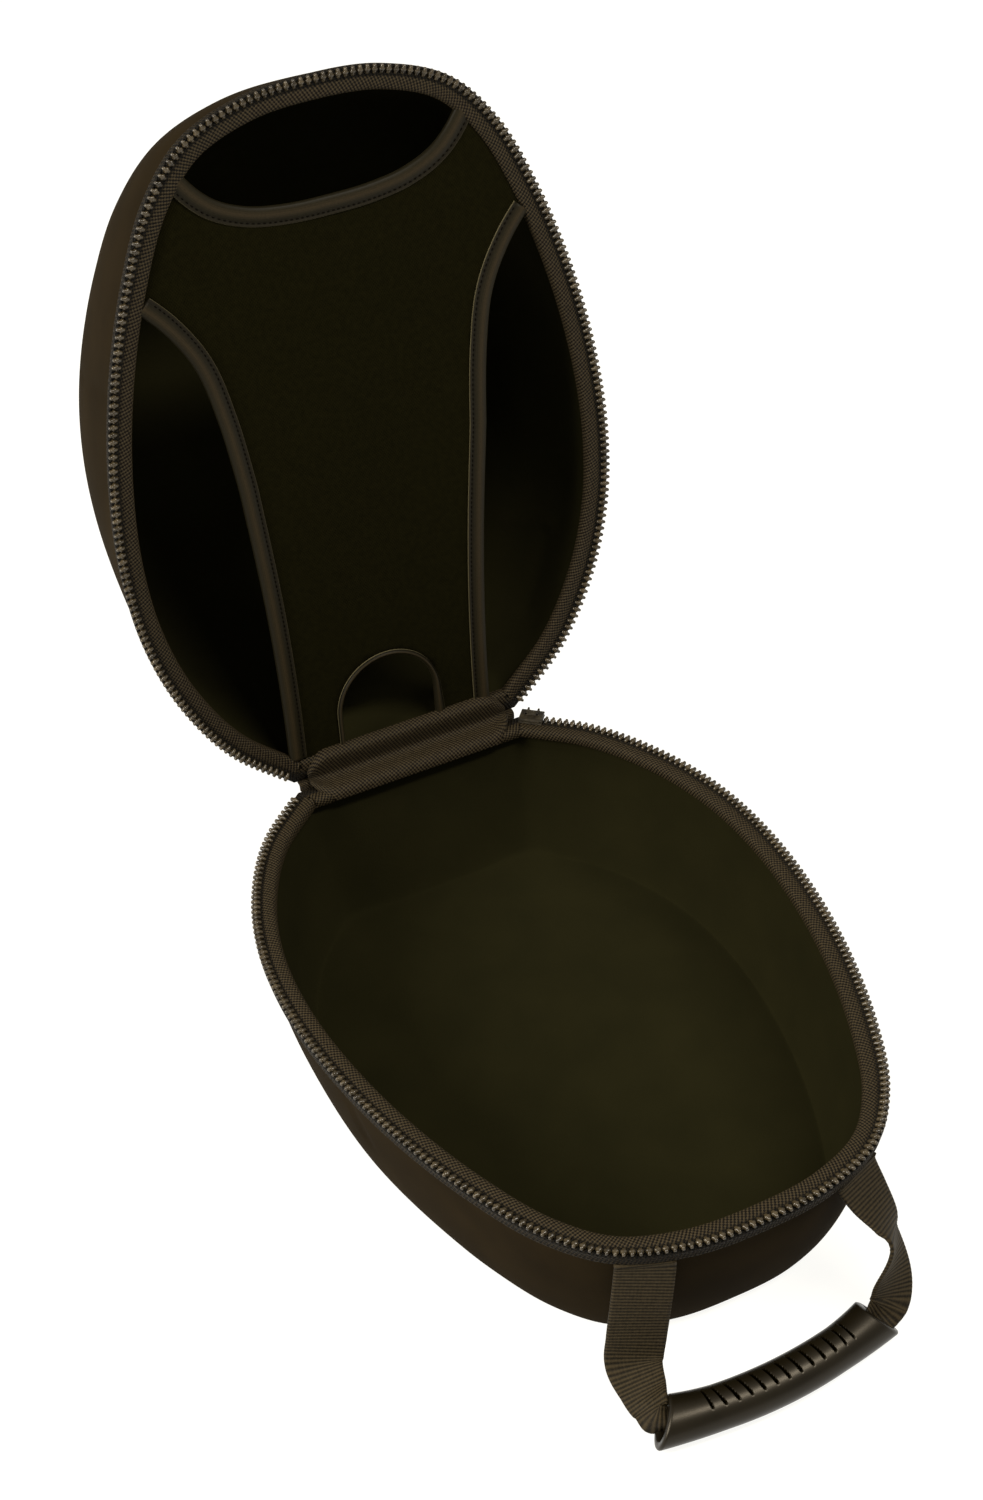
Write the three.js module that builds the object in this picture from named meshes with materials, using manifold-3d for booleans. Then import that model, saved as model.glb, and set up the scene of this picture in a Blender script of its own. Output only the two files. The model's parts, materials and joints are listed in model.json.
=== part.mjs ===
// Helmet bag: a moulded clamshell case for a riding helmet, standing open on its flat bottom.
// Millimetres, +Z up, the handle towards -Y. The origin is the centre of the base's length,
// at the height of its flat bottom.

import * as THREE from "three";
import { mergeVertices } from "three/addons/utils/BufferGeometryUtils.js";
import Module from "manifold-3d";

const wasm = await Module();
wasm.setup();

// Gap kept between pieces that touch
const clearance = 0.3;

// Rim outline, the same on the base and the lid: straight along the hinge, egg-shaped in front
const rimLength = 340;
const rimWidth = 250;
const hingeWidth = 122;

// Moulded shells: heights from the face of the zip tape, and the share of the rim outline
// that is left at the flat end of each bowl
const baseHeight = 72;
const lidDepth = 102;
const shellWall = 4;
const baseFloorAcross = 0.87;
const baseFloorAlong = 0.878;
const baseFloorCentre = 178;
const baseRoundness = 1.3;
const lidRoofAcross = 0.86;
const lidRoofAlong = 0.61;
const lidRoofCentre = 170;
const lidRoundness = 1.6;

// Rolled edge inside each rim
const rollWidth = 8;
const rollHeight = 4;

// Zip: a tape folded over the rim, with a row of teeth along its outer edge
const tapeThickness = 1;
const weltInset = 1.5;
const weltThickness = 1.2;
const weltDrop = 6;
const teethWidth = 4.2;
const teethHeight = 2.2;
const teethMeetingGap = 0.6;
const teethEndGap = 3;

// Zip slider and its pull, at the right end of the chain
const sliderLength = 12;
const sliderWidth = 8.6;
const pullWidth = 7;
const pullLength = 30;
const pullThickness = 1.6;
const sliderOverhang = 2.2;

// Cloth hinge, in two leaves that meet at the folding line
const leafInset = 4;
const leafDrop = 9;
const leafThickness = 1.2;
const leafFoldGap = 0.4;

// How far the lid stands open
const lidAngle = 97;

// Panel inside the lid, with bound cut-outs at its top and sides and an arch at the hinge
const panelThickness = 1.7;
const bindingWidth = 8.5;
const bindingThickness = 0.8;
const bindingOverhang = 0.6;
const archBindingWidth = 3;
const archHalfWidth = 25.5;
const archHeight = 54;
const panelLean = 7;
const panelLeanReach = 160;

// Carrying handle: webbing sewn under the front corners, through a curved grip on the ground
const webbingWidth = 25;
const webbingThickness = 1.8;
const strapPlace = 52;
const seamGap = 0.5;
const gripLength = 104.5;
const gripReach = 22;
const gripShift = -9.2;
const gripSlant = 2.7;
const gripBow = 7;
const gripWidth = 19;
const gripHeight = 18;
const gripWall = 2.9;
const gripFloorGap = 0.2;
const gripMitre = 0.6;
const foldedWidth = 9;
const foldedThickness = 6.4;
const slitCount = 13;
const slitPitch = 5.8;
const slitWidth = 1.2;
const slitLength = 11;
const slitDepth = 1.2;
const slitLean = 12;

// Sampling
const rimSteps = 60;
const hingeSteps = 4;
const wallSteps = 8;
const edgeSteps = 22;
const gripSteps = 18;
const gripSides = 20;
const ribbonSteps = 14;

const shellInset = weltInset + weltThickness + clearance;
const shellTop = tapeThickness + clearance;
const rollInset = shellInset + rollWidth;
const teethTop = clearance + teethHeight;
const rimGap = 2 * teethTop + teethMeetingGap;
const sliderHeight = rimGap - 2 * clearance;
const hingeY = rimLength / 2;
const hingeHeight = baseHeight + rimGap / 2;

// One half of the rim from the hinge to the front. side is a share of half the rim width,
// along a share of the rim length from the hinge.
const rimShape = [
  { side: hingeWidth / rimWidth, along: 0 },
  { side: 0.725, along: 0.082 },
  { side: 0.885, along: 0.185 },
  { side: 0.974, along: 0.295 },
  { side: 1, along: 0.41 },
  { side: 0.975, along: 0.535 },
  { side: 0.905, along: 0.665 },
  { side: 0.795, along: 0.79 },
  { side: 0.665, along: 0.89 },
  { side: 0.5, along: 0.957 },
  { side: 0.26, along: 0.992 },
  { side: 0, along: 1 },
];

// Free edge of the panel beside each side cut-out, from the hinge to the shoulder
const panelSideEdge = [
  { side: 0.43, along: -0.03 },
  { side: 0.432, along: 0.13 },
  { side: 0.45, along: 0.28 },
  { side: 0.485, along: 0.43 },
  { side: 0.53, along: 0.58 },
  { side: 0.58, along: 0.66 },
  { side: 0.67, along: 0.72 },
  { side: 0.8, along: 0.775 },
];

// Free edge of the panel under the top cut-out, from the middle to the shoulder
const panelTopEdge = [
  { side: 0, along: 0.84 },
  { side: 0.16, along: 0.842 },
  { side: 0.3, along: 0.851 },
  { side: 0.42, along: 0.872 },
  { side: 0.51, along: 0.908 },
  { side: 0.57, along: 0.955 },
];

// The webbing from the left seam to the grip. drop and reach are shares of the way down and
// out to the grip's mouth, bulge a sideways shift as a share of the webbing's width. turn is
// the share of the width's turn from the seam's direction to the grip's, tilt its slope in
// degrees, width its share of the full width, and fold the share gathered to a thick bundle.
const leftRun = [
  { drop: 0, reach: 0, bulge: 0, turn: 0, tilt: 0, width: 1, fold: 0 },
  { drop: 0.08, reach: 0, bulge: -0.035, turn: 0, tilt: 0, width: 1, fold: 0 },
  { drop: 0.37, reach: 0.06, bulge: -0.05, turn: 0, tilt: 0, width: 1, fold: 0 },
  { drop: 0.7, reach: 0.11, bulge: -0.08, turn: 0.02, tilt: 0, width: 1, fold: 0 },
  { drop: 0.95, reach: 0.22, bulge: -0.06, turn: 0.04, tilt: 0, width: 1, fold: 0 },
  { drop: 1.06, reach: 0.5, bulge: -0.02, turn: 0.08, tilt: 0, width: 0.8, fold: 0.15 },
  { drop: 1.04, reach: 0.8, bulge: 0.16, turn: 0.24, tilt: 0, width: 0.46, fold: 0.45 },
  { drop: 1.01, reach: 0.95, bulge: 0.08, turn: 0.53, tilt: 0, width: 0.42, fold: 0.8 },
];

// The webbing from the right seam to the grip: it bulges out and twists on its way
const rightRun = [
  { drop: 0, reach: 0, bulge: 0, turn: 0, tilt: 0, width: 1, fold: 0 },
  { drop: 0.07, reach: 0, bulge: 0.017, turn: 0, tilt: 0, width: 1, fold: 0 },
  { drop: 0.19, reach: 0.2, bulge: 0.16, turn: 0.05, tilt: -6, width: 1, fold: 0 },
  { drop: 0.35, reach: 0.53, bulge: 0.34, turn: 0.27, tilt: -22, width: 1, fold: 0 },
  { drop: 0.6, reach: 0.86, bulge: 0.33, turn: 1.02, tilt: -38, width: 0.9, fold: 0.05 },
  { drop: 0.84, reach: 0.96, bulge: 0.32, turn: 1.3, tilt: -25, width: 0.7, fold: 0.2 },
  { drop: 0.98, reach: 1, bulge: 0.17, turn: 1.2, tilt: -8, width: 0.4, fold: 0.6 },
];

// Meshes from rings, and to and from manifold solids

function meshFromTriangles(points, triangles) {
  const geometry = new THREE.BufferGeometry();
  geometry.setAttribute("position", new THREE.Float32BufferAttribute(points, 3));
  geometry.setIndex(triangles);
  return geometry;
}

function signedVolume(points, triangles) {
  const a = new THREE.Vector3();
  const b = new THREE.Vector3();
  const c = new THREE.Vector3();
  let volume = 0;
  for (let i = 0; i < triangles.length; i += 3) {
    a.fromArray(points, 3 * triangles[i]);
    b.fromArray(points, 3 * triangles[i + 1]);
    c.fromArray(points, 3 * triangles[i + 2]);
    volume += a.dot(b.cross(c)) / 6;
  }
  return volume;
}

// Joins rings of equal length, each a closed loop of Vector3. A closed skin returns to its
// first ring; an open one is capped by a fan at each end. Faces are turned outwards.
function skin(rings, closed = false) {
  const sides = rings[0].length;
  const points = rings.flat().flatMap((p) => [p.x, p.y, p.z]);
  const triangles = [];
  const joints = closed ? rings.length : rings.length - 1;
  for (let r = 0; r < joints; r++) {
    const next = ((r + 1) % rings.length) * sides;
    for (let s = 0; s < sides; s++) {
      const a = r * sides + s;
      const b = r * sides + ((s + 1) % sides);
      const c = next + ((s + 1) % sides);
      const d = next + s;
      triangles.push(a, b, c, a, c, d);
    }
  }
  if (!closed) {
    for (const [ring, flip] of [[0, true], [rings.length - 1, false]]) {
      const centre = new THREE.Vector3();
      rings[ring].forEach((p) => centre.addScaledVector(p, 1 / sides));
      const middle = points.length / 3;
      points.push(centre.x, centre.y, centre.z);
      for (let s = 0; s < sides; s++) {
        const a = ring * sides + s;
        const b = ring * sides + ((s + 1) % sides);
        triangles.push(...(flip ? [b, a, middle] : [a, b, middle]));
      }
    }
  }
  if (signedVolume(points, triangles) < 0) triangles.reverse();
  return meshFromTriangles(points, triangles);
}

function toSolid(geometry) {
  const bare = geometry.clone();
  bare.deleteAttribute("normal");
  bare.deleteAttribute("uv");
  const merged = mergeVertices(bare, 1e-4);
  return new wasm.Manifold(
    new wasm.Mesh({
      numProp: 3,
      vertProperties: merged.attributes.position.array,
      triVerts: new Uint32Array(merged.index.array),
    }),
  );
}

function fromSolid(solid) {
  const mesh = solid.getMesh();
  return meshFromTriangles(Array.from(mesh.vertProperties), Array.from(mesh.triVerts));
}

// A flat plate with the outline given as Vector2 points, between two heights
function plate(outline, bottom, top) {
  const geometry = new THREE.ExtrudeGeometry(new THREE.Shape(outline), {
    depth: top - bottom,
    bevelEnabled: false,
  });
  return toSolid(geometry.translate(0, 0, bottom));
}

// The rim outline. Local frame of both halves: X across, Y from 0 at the hinge to
// -rimLength in front.

function rimPoint({ side, along }) {
  return new THREE.Vector2((side * rimWidth) / 2, -along * rimLength);
}

function mirrored(points) {
  return points.map((p) => new THREE.Vector2(-p.x, p.y));
}

// Smooth curve through 2-D points, open, as a curve in the plane z = 0
function smoothCurve(points) {
  return new THREE.CatmullRomCurve3(
    points.map((p) => new THREE.Vector3(p.x, p.y, 0)),
    false,
    "centripetal",
  );
}

const halfRim = rimShape.map(rimPoint);
const rimCurve = smoothCurve([...halfRim, ...mirrored(halfRim).reverse().slice(1)]);
const rimCurveLength = rimCurve.getLength();

function rimLoop() {
  const front = rimCurve.getSpacedPoints(rimSteps).map((p) => new THREE.Vector2(p.x, p.y));
  const start = front[front.length - 1];
  const end = front[0];
  for (let i = 1; i < hingeSteps; i++) {
    front.push(start.clone().lerp(end, i / hingeSteps));
  }
  return front;
}

const rim = rimLoop();

// The rim outline moved inwards by an inset, with mitred corners
function insetLoop(inset) {
  return rim.map((p, i) => {
    const before = rim[(i + rim.length - 1) % rim.length];
    const after = rim[(i + 1) % rim.length];
    const inwardOf = (a, b) => {
      const d = b.clone().sub(a).normalize();
      return new THREE.Vector2(d.y, -d.x);
    };
    const n1 = inwardOf(before, p);
    const n2 = inwardOf(p, after);
    const mitre = n1.clone().add(n2).divideScalar(1 + n1.dot(n2));
    return p.clone().addScaledVector(mitre, inset);
  });
}

// A bowl tapers from the rim outline at depth 0 to its flat end
const baseBowl = {
  across: baseFloorAcross,
  along: baseFloorAlong,
  centre: baseFloorCentre,
  roundness: baseRoundness,
};
const lidBowl = {
  across: lidRoofAcross,
  along: lidRoofAlong,
  centre: lidRoofCentre,
  roundness: lidRoundness,
};

function bowlPoint(bowl, share, point) {
  const left = Math.pow(1 - Math.pow(Math.min(share, 1), bowl.roundness), 1 / bowl.roundness);
  const across = bowl.across + (1 - bowl.across) * left;
  const along = bowl.along + (1 - bowl.along) * left;
  return new THREE.Vector2(
    point.x * across,
    -bowl.centre + (point.y + bowl.centre) * along,
  );
}

function bowlLoop(bowl, share, inset) {
  return insetLoop(inset).map((p) => bowlPoint(bowl, share, p));
}

function liftLoop(loop, height) {
  return loop.map((p) => new THREE.Vector3(p.x, p.y, height));
}

// Depths at which a bowl of the given depth is cut, closer together at both ends
function bowlDepths(bowl, depth) {
  const depths = [];
  for (let i = 1; i <= wallSteps; i++) {
    const angle = ((i / wallSteps) * Math.PI) / 2;
    depths.push(depth * Math.pow(Math.sin(angle), 2 / bowl.roundness));
  }
  return depths;
}

// Outer wall, flat end, inner wall and the roll inside the rim. heightOf turns a depth from
// the tape's face into a local height.
function shellGeometry(bowl, depth, heightOf) {
  const rings = [];
  const addRing = (at, bowlDepth, inset) => {
    rings.push(liftLoop(bowlLoop(bowl, at / bowlDepth, inset), heightOf(at)));
  };
  const innerDepth = depth - shellWall;
  const innerInset = shellInset + shellWall;
  const rollBottom = shellTop + rollHeight;
  const rollBlend = rollBottom + rollInset - innerInset;
  const outerDepths = bowlDepths(bowl, depth).filter((d) => d > shellTop + 1);
  outerDepths.reverse().forEach((d) => addRing(d, depth, shellInset));
  addRing(shellTop, depth, shellInset);
  addRing(shellTop, depth, rollInset);
  addRing(rollBottom, depth, rollInset);
  addRing(rollBlend, innerDepth, innerInset);
  const innerDepths = bowlDepths(bowl, innerDepth).filter((d) => d > rollBlend + 1);
  innerDepths.forEach((d) => addRing(d, innerDepth, innerInset));
  return skin(rings);
}

// Tape lying on the rim, with a welt turned down over the outside
function tapeGeometry(heightOf) {
  const section = [
    { inset: weltInset, depth: 0 },
    { inset: rollInset, depth: 0 },
    { inset: rollInset, depth: tapeThickness },
    { inset: weltInset + weltThickness, depth: tapeThickness },
    { inset: weltInset + weltThickness, depth: weltDrop },
    { inset: weltInset, depth: weltDrop },
  ];
  const loops = section.map(({ inset, depth }) => liftLoop(insetLoop(inset), heightOf(depth)));
  return skin(rim.map((_, i) => loops.map((loop) => loop[i])), true);
}

// Place on the rim curve: the share of its length from the right hinge corner
function rimPlace(share) {
  const point = rimCurve.getPointAt(share);
  const tangent = rimCurve.getTangentAt(share);
  const outward = new THREE.Vector2(-tangent.y, tangent.x);
  return { point: new THREE.Vector2(point.x, point.y), tangent, outward };
}

// The row of teeth, as one strip that stands on the tape's outer edge
function teethGeometry(heightOf) {
  const from = (sliderLength + 2 * clearance + weltInset) / rimCurveLength;
  const to = 1 - teethEndGap / rimCurveLength;
  const low = heightOf(-clearance);
  const high = heightOf(-teethTop);
  const rings = [];
  for (let i = 0; i <= rimSteps; i++) {
    const { point, outward } = rimPlace(from + ((to - from) * i) / rimSteps);
    const inner = point.clone().addScaledVector(outward, -teethWidth);
    rings.push([
      new THREE.Vector3(point.x, point.y, low),
      new THREE.Vector3(inner.x, inner.y, low),
      new THREE.Vector3(inner.x, inner.y, high),
      new THREE.Vector3(point.x, point.y, high),
    ]);
  }
  return skin(rings);
}

// Slider body on the base's tape, with its pull hanging outside
function sliderGeometry() {
  const body = new THREE.BoxGeometry(sliderLength, sliderWidth, sliderHeight);
  body.translate(0, sliderOverhang - sliderWidth / 2, sliderHeight / 2);
  const pullOut = sliderOverhang + pullThickness / 2;
  const pull = new THREE.BoxGeometry(pullWidth, pullThickness + clearance, pullLength);
  pull.translate(0, pullOut, sliderHeight - pullLength / 2);
  const joined = toSolid(body).add(toSolid(pull));
  const { point, tangent, outward } = rimPlace(
    (weltInset + sliderLength / 2) / rimCurveLength,
  );
  const frame = new THREE.Matrix4().makeBasis(
    new THREE.Vector3(tangent.x, tangent.y, 0),
    new THREE.Vector3(outward.x, outward.y, 0),
    new THREE.Vector3(0, 0, 1),
  );
  frame.setPosition(point.x, point.y, baseHeight + clearance);
  return fromSolid(joined).applyMatrix4(frame);
}

// One leaf of the cloth hinge, between two heights
function leafGeometry(bottom, top) {
  const leaf = new THREE.BoxGeometry(hingeWidth - 2 * leafInset, leafThickness, top - bottom);
  return leaf.translate(0, -leafThickness / 2, (top + bottom) / 2);
}

// The lid panel and its bindings, in the lid's frame

const panelDepth = shellTop;
const panelOutline = bowlLoop(
  lidBowl,
  (panelDepth + panelThickness) / lidDepth,
  rollInset + clearance,
);

function sampled(points) {
  return smoothCurve(points).getSpacedPoints(edgeSteps).map((p) => new THREE.Vector2(p.x, p.y));
}

// Moves points near the hinge to the left, as far as the panel leans there
function leaned(points) {
  return points.map((p) => {
    const share = Math.max(0, 1 + p.y / panelLeanReach);
    return new THREE.Vector2(p.x - panelLean * share, p.y);
  });
}

function rightEdge() {
  return leaned(sampled(panelSideEdge.map(rimPoint)));
}

function leftEdge() {
  return leaned(mirrored(sampled(panelSideEdge.map(rimPoint))));
}

function topEdge() {
  const right = panelTopEdge.map(rimPoint);
  return sampled([...mirrored(right).reverse(), ...right.slice(1)]);
}

function archEdge() {
  const rise = archHeight - archHalfWidth;
  const points = [new THREE.Vector2(archHalfWidth, rollHeight)];
  for (let i = 0; i <= edgeSteps; i++) {
    const angle = (Math.PI * i) / edgeSteps;
    points.push(
      new THREE.Vector2(
        archHalfWidth * Math.cos(angle),
        -rise - archHalfWidth * Math.sin(angle),
      ),
    );
  }
  points.push(new THREE.Vector2(-archHalfWidth, rollHeight));
  return leaned(points);
}

function lidHeight(depth) {
  return rimGap / 2 + depth;
}

function panelGeometry() {
  const low = lidHeight(panelDepth);
  const high = low + panelThickness;
  const cutter = (outline) => plate(outline, low - 1, high + 1);
  const beside = (edge, sign) => {
    const last = edge[edge.length - 1];
    return [
      ...edge,
      new THREE.Vector2(sign * rimWidth, last.y),
      new THREE.Vector2(sign * rimWidth, edge[0].y),
    ];
  };
  const top = topEdge();
  const above = [
    ...top,
    new THREE.Vector2(top[top.length - 1].x, -2 * rimLength),
    new THREE.Vector2(top[0].x, -2 * rimLength),
  ];
  return fromSolid(
    plate(panelOutline, low, high)
      .subtract(cutter(beside(rightEdge(), 1)))
      .subtract(cutter(beside(leftEdge(), -1)))
      .subtract(cutter(above))
      .subtract(cutter(archEdge())),
  );
}

// A strip along an edge, from an overhang past the edge to a width inside it. towards is +1
// where the panel lies to the left of the edge's direction.
function bindingGeometry(edge, width, towards) {
  const offsetEdge = (by) =>
    edge.map((p, i) => {
      const before = edge[Math.max(i - 1, 0)];
      const after = edge[Math.min(i + 1, edge.length - 1)];
      const d = after.clone().sub(before).normalize();
      return new THREE.Vector2(p.x - d.y * by, p.y + d.x * by);
    });
  const outline = [
    ...offsetEdge(-towards * bindingOverhang),
    ...offsetEdge(towards * (width - bindingOverhang)).reverse(),
  ];
  const face = lidHeight(panelDepth) - clearance;
  const strip = plate(outline, face - bindingThickness, face);
  const inside = plate(panelOutline, face - bindingThickness - 1, face + 1);
  return fromSolid(strip.intersect(inside));
}

// Handle: webbing and grip, in the part's own frame

const gripHeightAt = gripFloorGap + gripHeight / 2;
const frontY = hingeY - rimLength;
const gripY = frontY - gripReach;
const gripTurn = Math.PI / 2;

// The grip's centre line, an arc bowed outwards
function gripCentre(share) {
  const across = 2 * share - 1;
  return new THREE.Vector3(
    gripShift + (across * gripLength) / 2,
    gripY - gripBow * (1 - across * across) + (across * gripSlant) / 2,
    gripHeightAt,
  );
}

// The top of a strap's seam, just below the welt, and the direction along the rim there
function strapSeam(sign) {
  const { point, tangent, outward } = rimPlace(0.5 + (-sign * strapPlace) / rimCurveLength);
  const depth = weltDrop + 2 * clearance;
  const wall = bowlPoint(
    baseBowl,
    depth / baseHeight,
    point.clone().addScaledVector(outward, -shellInset),
  );
  wall.addScaledVector(outward, seamGap + webbingThickness / 2);
  return {
    top: new THREE.Vector3(wall.x, wall.y + hingeY, baseHeight - depth),
    turn: Math.atan2(-tangent.y, -tangent.x),
  };
}

function widthDirection(turn, tilt) {
  return new THREE.Vector3(
    Math.cos(tilt) * Math.cos(turn),
    Math.cos(tilt) * Math.sin(turn),
    Math.sin(tilt),
  );
}

// Stations of one run of webbing: centre, direction of the width, width and thickness
function runStations(rows, sign) {
  const seam = strapSeam(sign);
  const mouth = gripCentre(sign < 0 ? 0 : 1);
  return rows.map(({ drop, reach, bulge, turn, tilt, width, fold }) => ({
    centre: new THREE.Vector3(
      seam.top.x + (mouth.x - seam.top.x) * drop + sign * bulge * webbingWidth,
      seam.top.y + (mouth.y - seam.top.y) * reach,
      seam.top.z + (mouth.z - seam.top.z) * drop,
    ),
    across: widthDirection(
      THREE.MathUtils.lerp(seam.turn, gripTurn, turn),
      THREE.MathUtils.degToRad(tilt),
    ),
    width: width * webbingWidth,
    thickness: THREE.MathUtils.lerp(webbingThickness, foldedThickness, fold),
  }));
}

function webbingGeometry() {
  const inside = [0.07, 0.28, 0.5, 0.72, 0.93].map((share) => ({
    centre: gripCentre(share),
    across: widthDirection(gripTurn, 0),
    width: foldedWidth,
    thickness: foldedThickness,
  }));
  const stations = [
    ...runStations(leftRun, -1),
    ...inside,
    ...runStations(rightRun, 1).reverse(),
  ];
  const through = (pick) =>
    new THREE.CatmullRomCurve3(stations.map(pick), false, "catmullrom", 0.5);
  const centres = through((s) => s.centre);
  const acrosses = through((s) => s.across);
  const sizes = through((s) => new THREE.Vector3(s.width, s.thickness, 0));
  const steps = 2 * ribbonSteps + 3 * inside.length;
  const rings = [];
  for (let i = 0; i <= steps; i++) {
    const t = i / steps;
    const centre = centres.getPoint(t);
    const along = centres.getTangent(t);
    const across = acrosses.getPoint(t);
    across.addScaledVector(along, -across.dot(along)).normalize();
    const normal = along.clone().cross(across);
    const size = sizes.getPoint(t);
    const corner = (a, n) =>
      centre
        .clone()
        .addScaledVector(across, (a * size.x) / 2)
        .addScaledVector(normal, (n * size.y) / 2);
    rings.push([corner(-1, -1), corner(1, -1), corner(1, 1), corner(-1, 1)]);
  }
  return skin(rings);
}

function gripGeometry() {
  const ringAt = (share, width, height) => {
    const centre = gripCentre(share);
    const ring = [];
    for (let i = 0; i < gripSides; i++) {
      const angle = (2 * Math.PI * i) / gripSides;
      const out = (width / 2) * Math.cos(angle);
      const up = (height / 2) * Math.sin(angle);
      const lean = gripMitre * (2 * share - 1) * out;
      ring.push(new THREE.Vector3(centre.x - lean, centre.y + out, centre.z + up));
    }
    return ring;
  };
  const rings = [];
  for (let i = 0; i <= gripSteps; i++) {
    rings.push(ringAt(i / gripSteps, gripWidth, gripHeight));
  }
  for (let i = gripSteps; i >= 0; i--) {
    rings.push(ringAt(i / gripSteps, gripWidth - 2 * gripWall, gripHeight - 2 * gripWall));
  }
  let grip = toSolid(skin(rings, true));
  for (let i = 0; i < slitCount; i++) {
    const place = 0.5 + ((i - (slitCount - 1) / 2) * slitPitch) / gripLength;
    const centre = gripCentre(place);
    const slit = new THREE.BoxGeometry(slitWidth, slitLength, 2 * slitDepth);
    slit.translate(0, 0, gripHeight / 2);
    slit.rotateX(THREE.MathUtils.degToRad(-slitLean));
    slit.translate(centre.x, centre.y, centre.z);
    grip = grip.subtract(toSolid(slit));
  }
  return fromSolid(grip);
}

// Materials and the assembled bag

const shellCloth = new THREE.MeshStandardMaterial({ color: "#332b1e", roughness: 0.8 });
const tapeCloth = new THREE.MeshStandardMaterial({ color: "#2a241a", roughness: 0.85 });
const toothPlastic = new THREE.MeshStandardMaterial({ color: "#3a3326", roughness: 0.45 });
const panelCloth = new THREE.MeshStandardMaterial({ color: "#120f05", roughness: 0.95 });
const bindingCloth = new THREE.MeshStandardMaterial({ color: "#322f20", roughness: 0.8 });
const webbingCloth = new THREE.MeshStandardMaterial({ color: "#3b3326", roughness: 0.75 });
const gripPlastic = new THREE.MeshStandardMaterial({ color: "#4f493d", roughness: 0.4 });
const sliderMetal = new THREE.MeshStandardMaterial({
  color: "#2b2822",
  roughness: 0.4,
  metalness: 0.6,
});

function mesh(name, geometry, material) {
  const made = new THREE.Mesh(geometry, material);
  made.name = name;
  return made;
}

function baseHeightOf(depth) {
  return baseHeight - depth;
}

function makeBase() {
  const base = new THREE.Group();
  base.position.set(0, hingeY, 0);
  base.add(
    mesh("base_shell", shellGeometry(baseBowl, baseHeight, baseHeightOf), shellCloth),
    mesh("base_zip_tape", tapeGeometry(baseHeightOf), tapeCloth),
    mesh("base_zip_teeth", teethGeometry(baseHeightOf), toothPlastic),
    mesh("zip_slider", sliderGeometry(), sliderMetal),
    mesh(
      "base_hinge_leaf",
      leafGeometry(baseHeight - leafDrop, hingeHeight - leafFoldGap),
      tapeCloth,
    ),
  );
  return base;
}

function makeLid() {
  const lid = new THREE.Group();
  lid.position.set(0, hingeY, hingeHeight);
  lid.rotation.x = THREE.MathUtils.degToRad(-lidAngle);
  lid.add(
    mesh("lid_shell", shellGeometry(lidBowl, lidDepth, lidHeight), shellCloth),
    mesh("lid_zip_tape", tapeGeometry(lidHeight), tapeCloth),
    mesh("lid_zip_teeth", teethGeometry(lidHeight), toothPlastic),
    mesh("lid_hinge_leaf", leafGeometry(leafFoldGap, lidHeight(leafDrop)), tapeCloth),
    mesh("lid_panel", panelGeometry(), panelCloth),
    mesh("panel_binding_top", bindingGeometry(topEdge(), bindingWidth, 1), bindingCloth),
    mesh("panel_binding_right", bindingGeometry(rightEdge(), bindingWidth, -1), bindingCloth),
    mesh("panel_binding_left", bindingGeometry(leftEdge(), bindingWidth, 1), bindingCloth),
    mesh("panel_binding_arch", bindingGeometry(archEdge(), archBindingWidth, 1), bindingCloth),
  );
  return lid;
}

function makeHandle() {
  const handle = new THREE.Group();
  handle.add(
    mesh("handle_webbing", webbingGeometry(), webbingCloth),
    mesh("handle_grip", gripGeometry(), gripPlastic),
  );
  return handle;
}

const bag = new THREE.Group();
bag.add(makeBase(), makeLid(), makeHandle());

export default bag;
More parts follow.
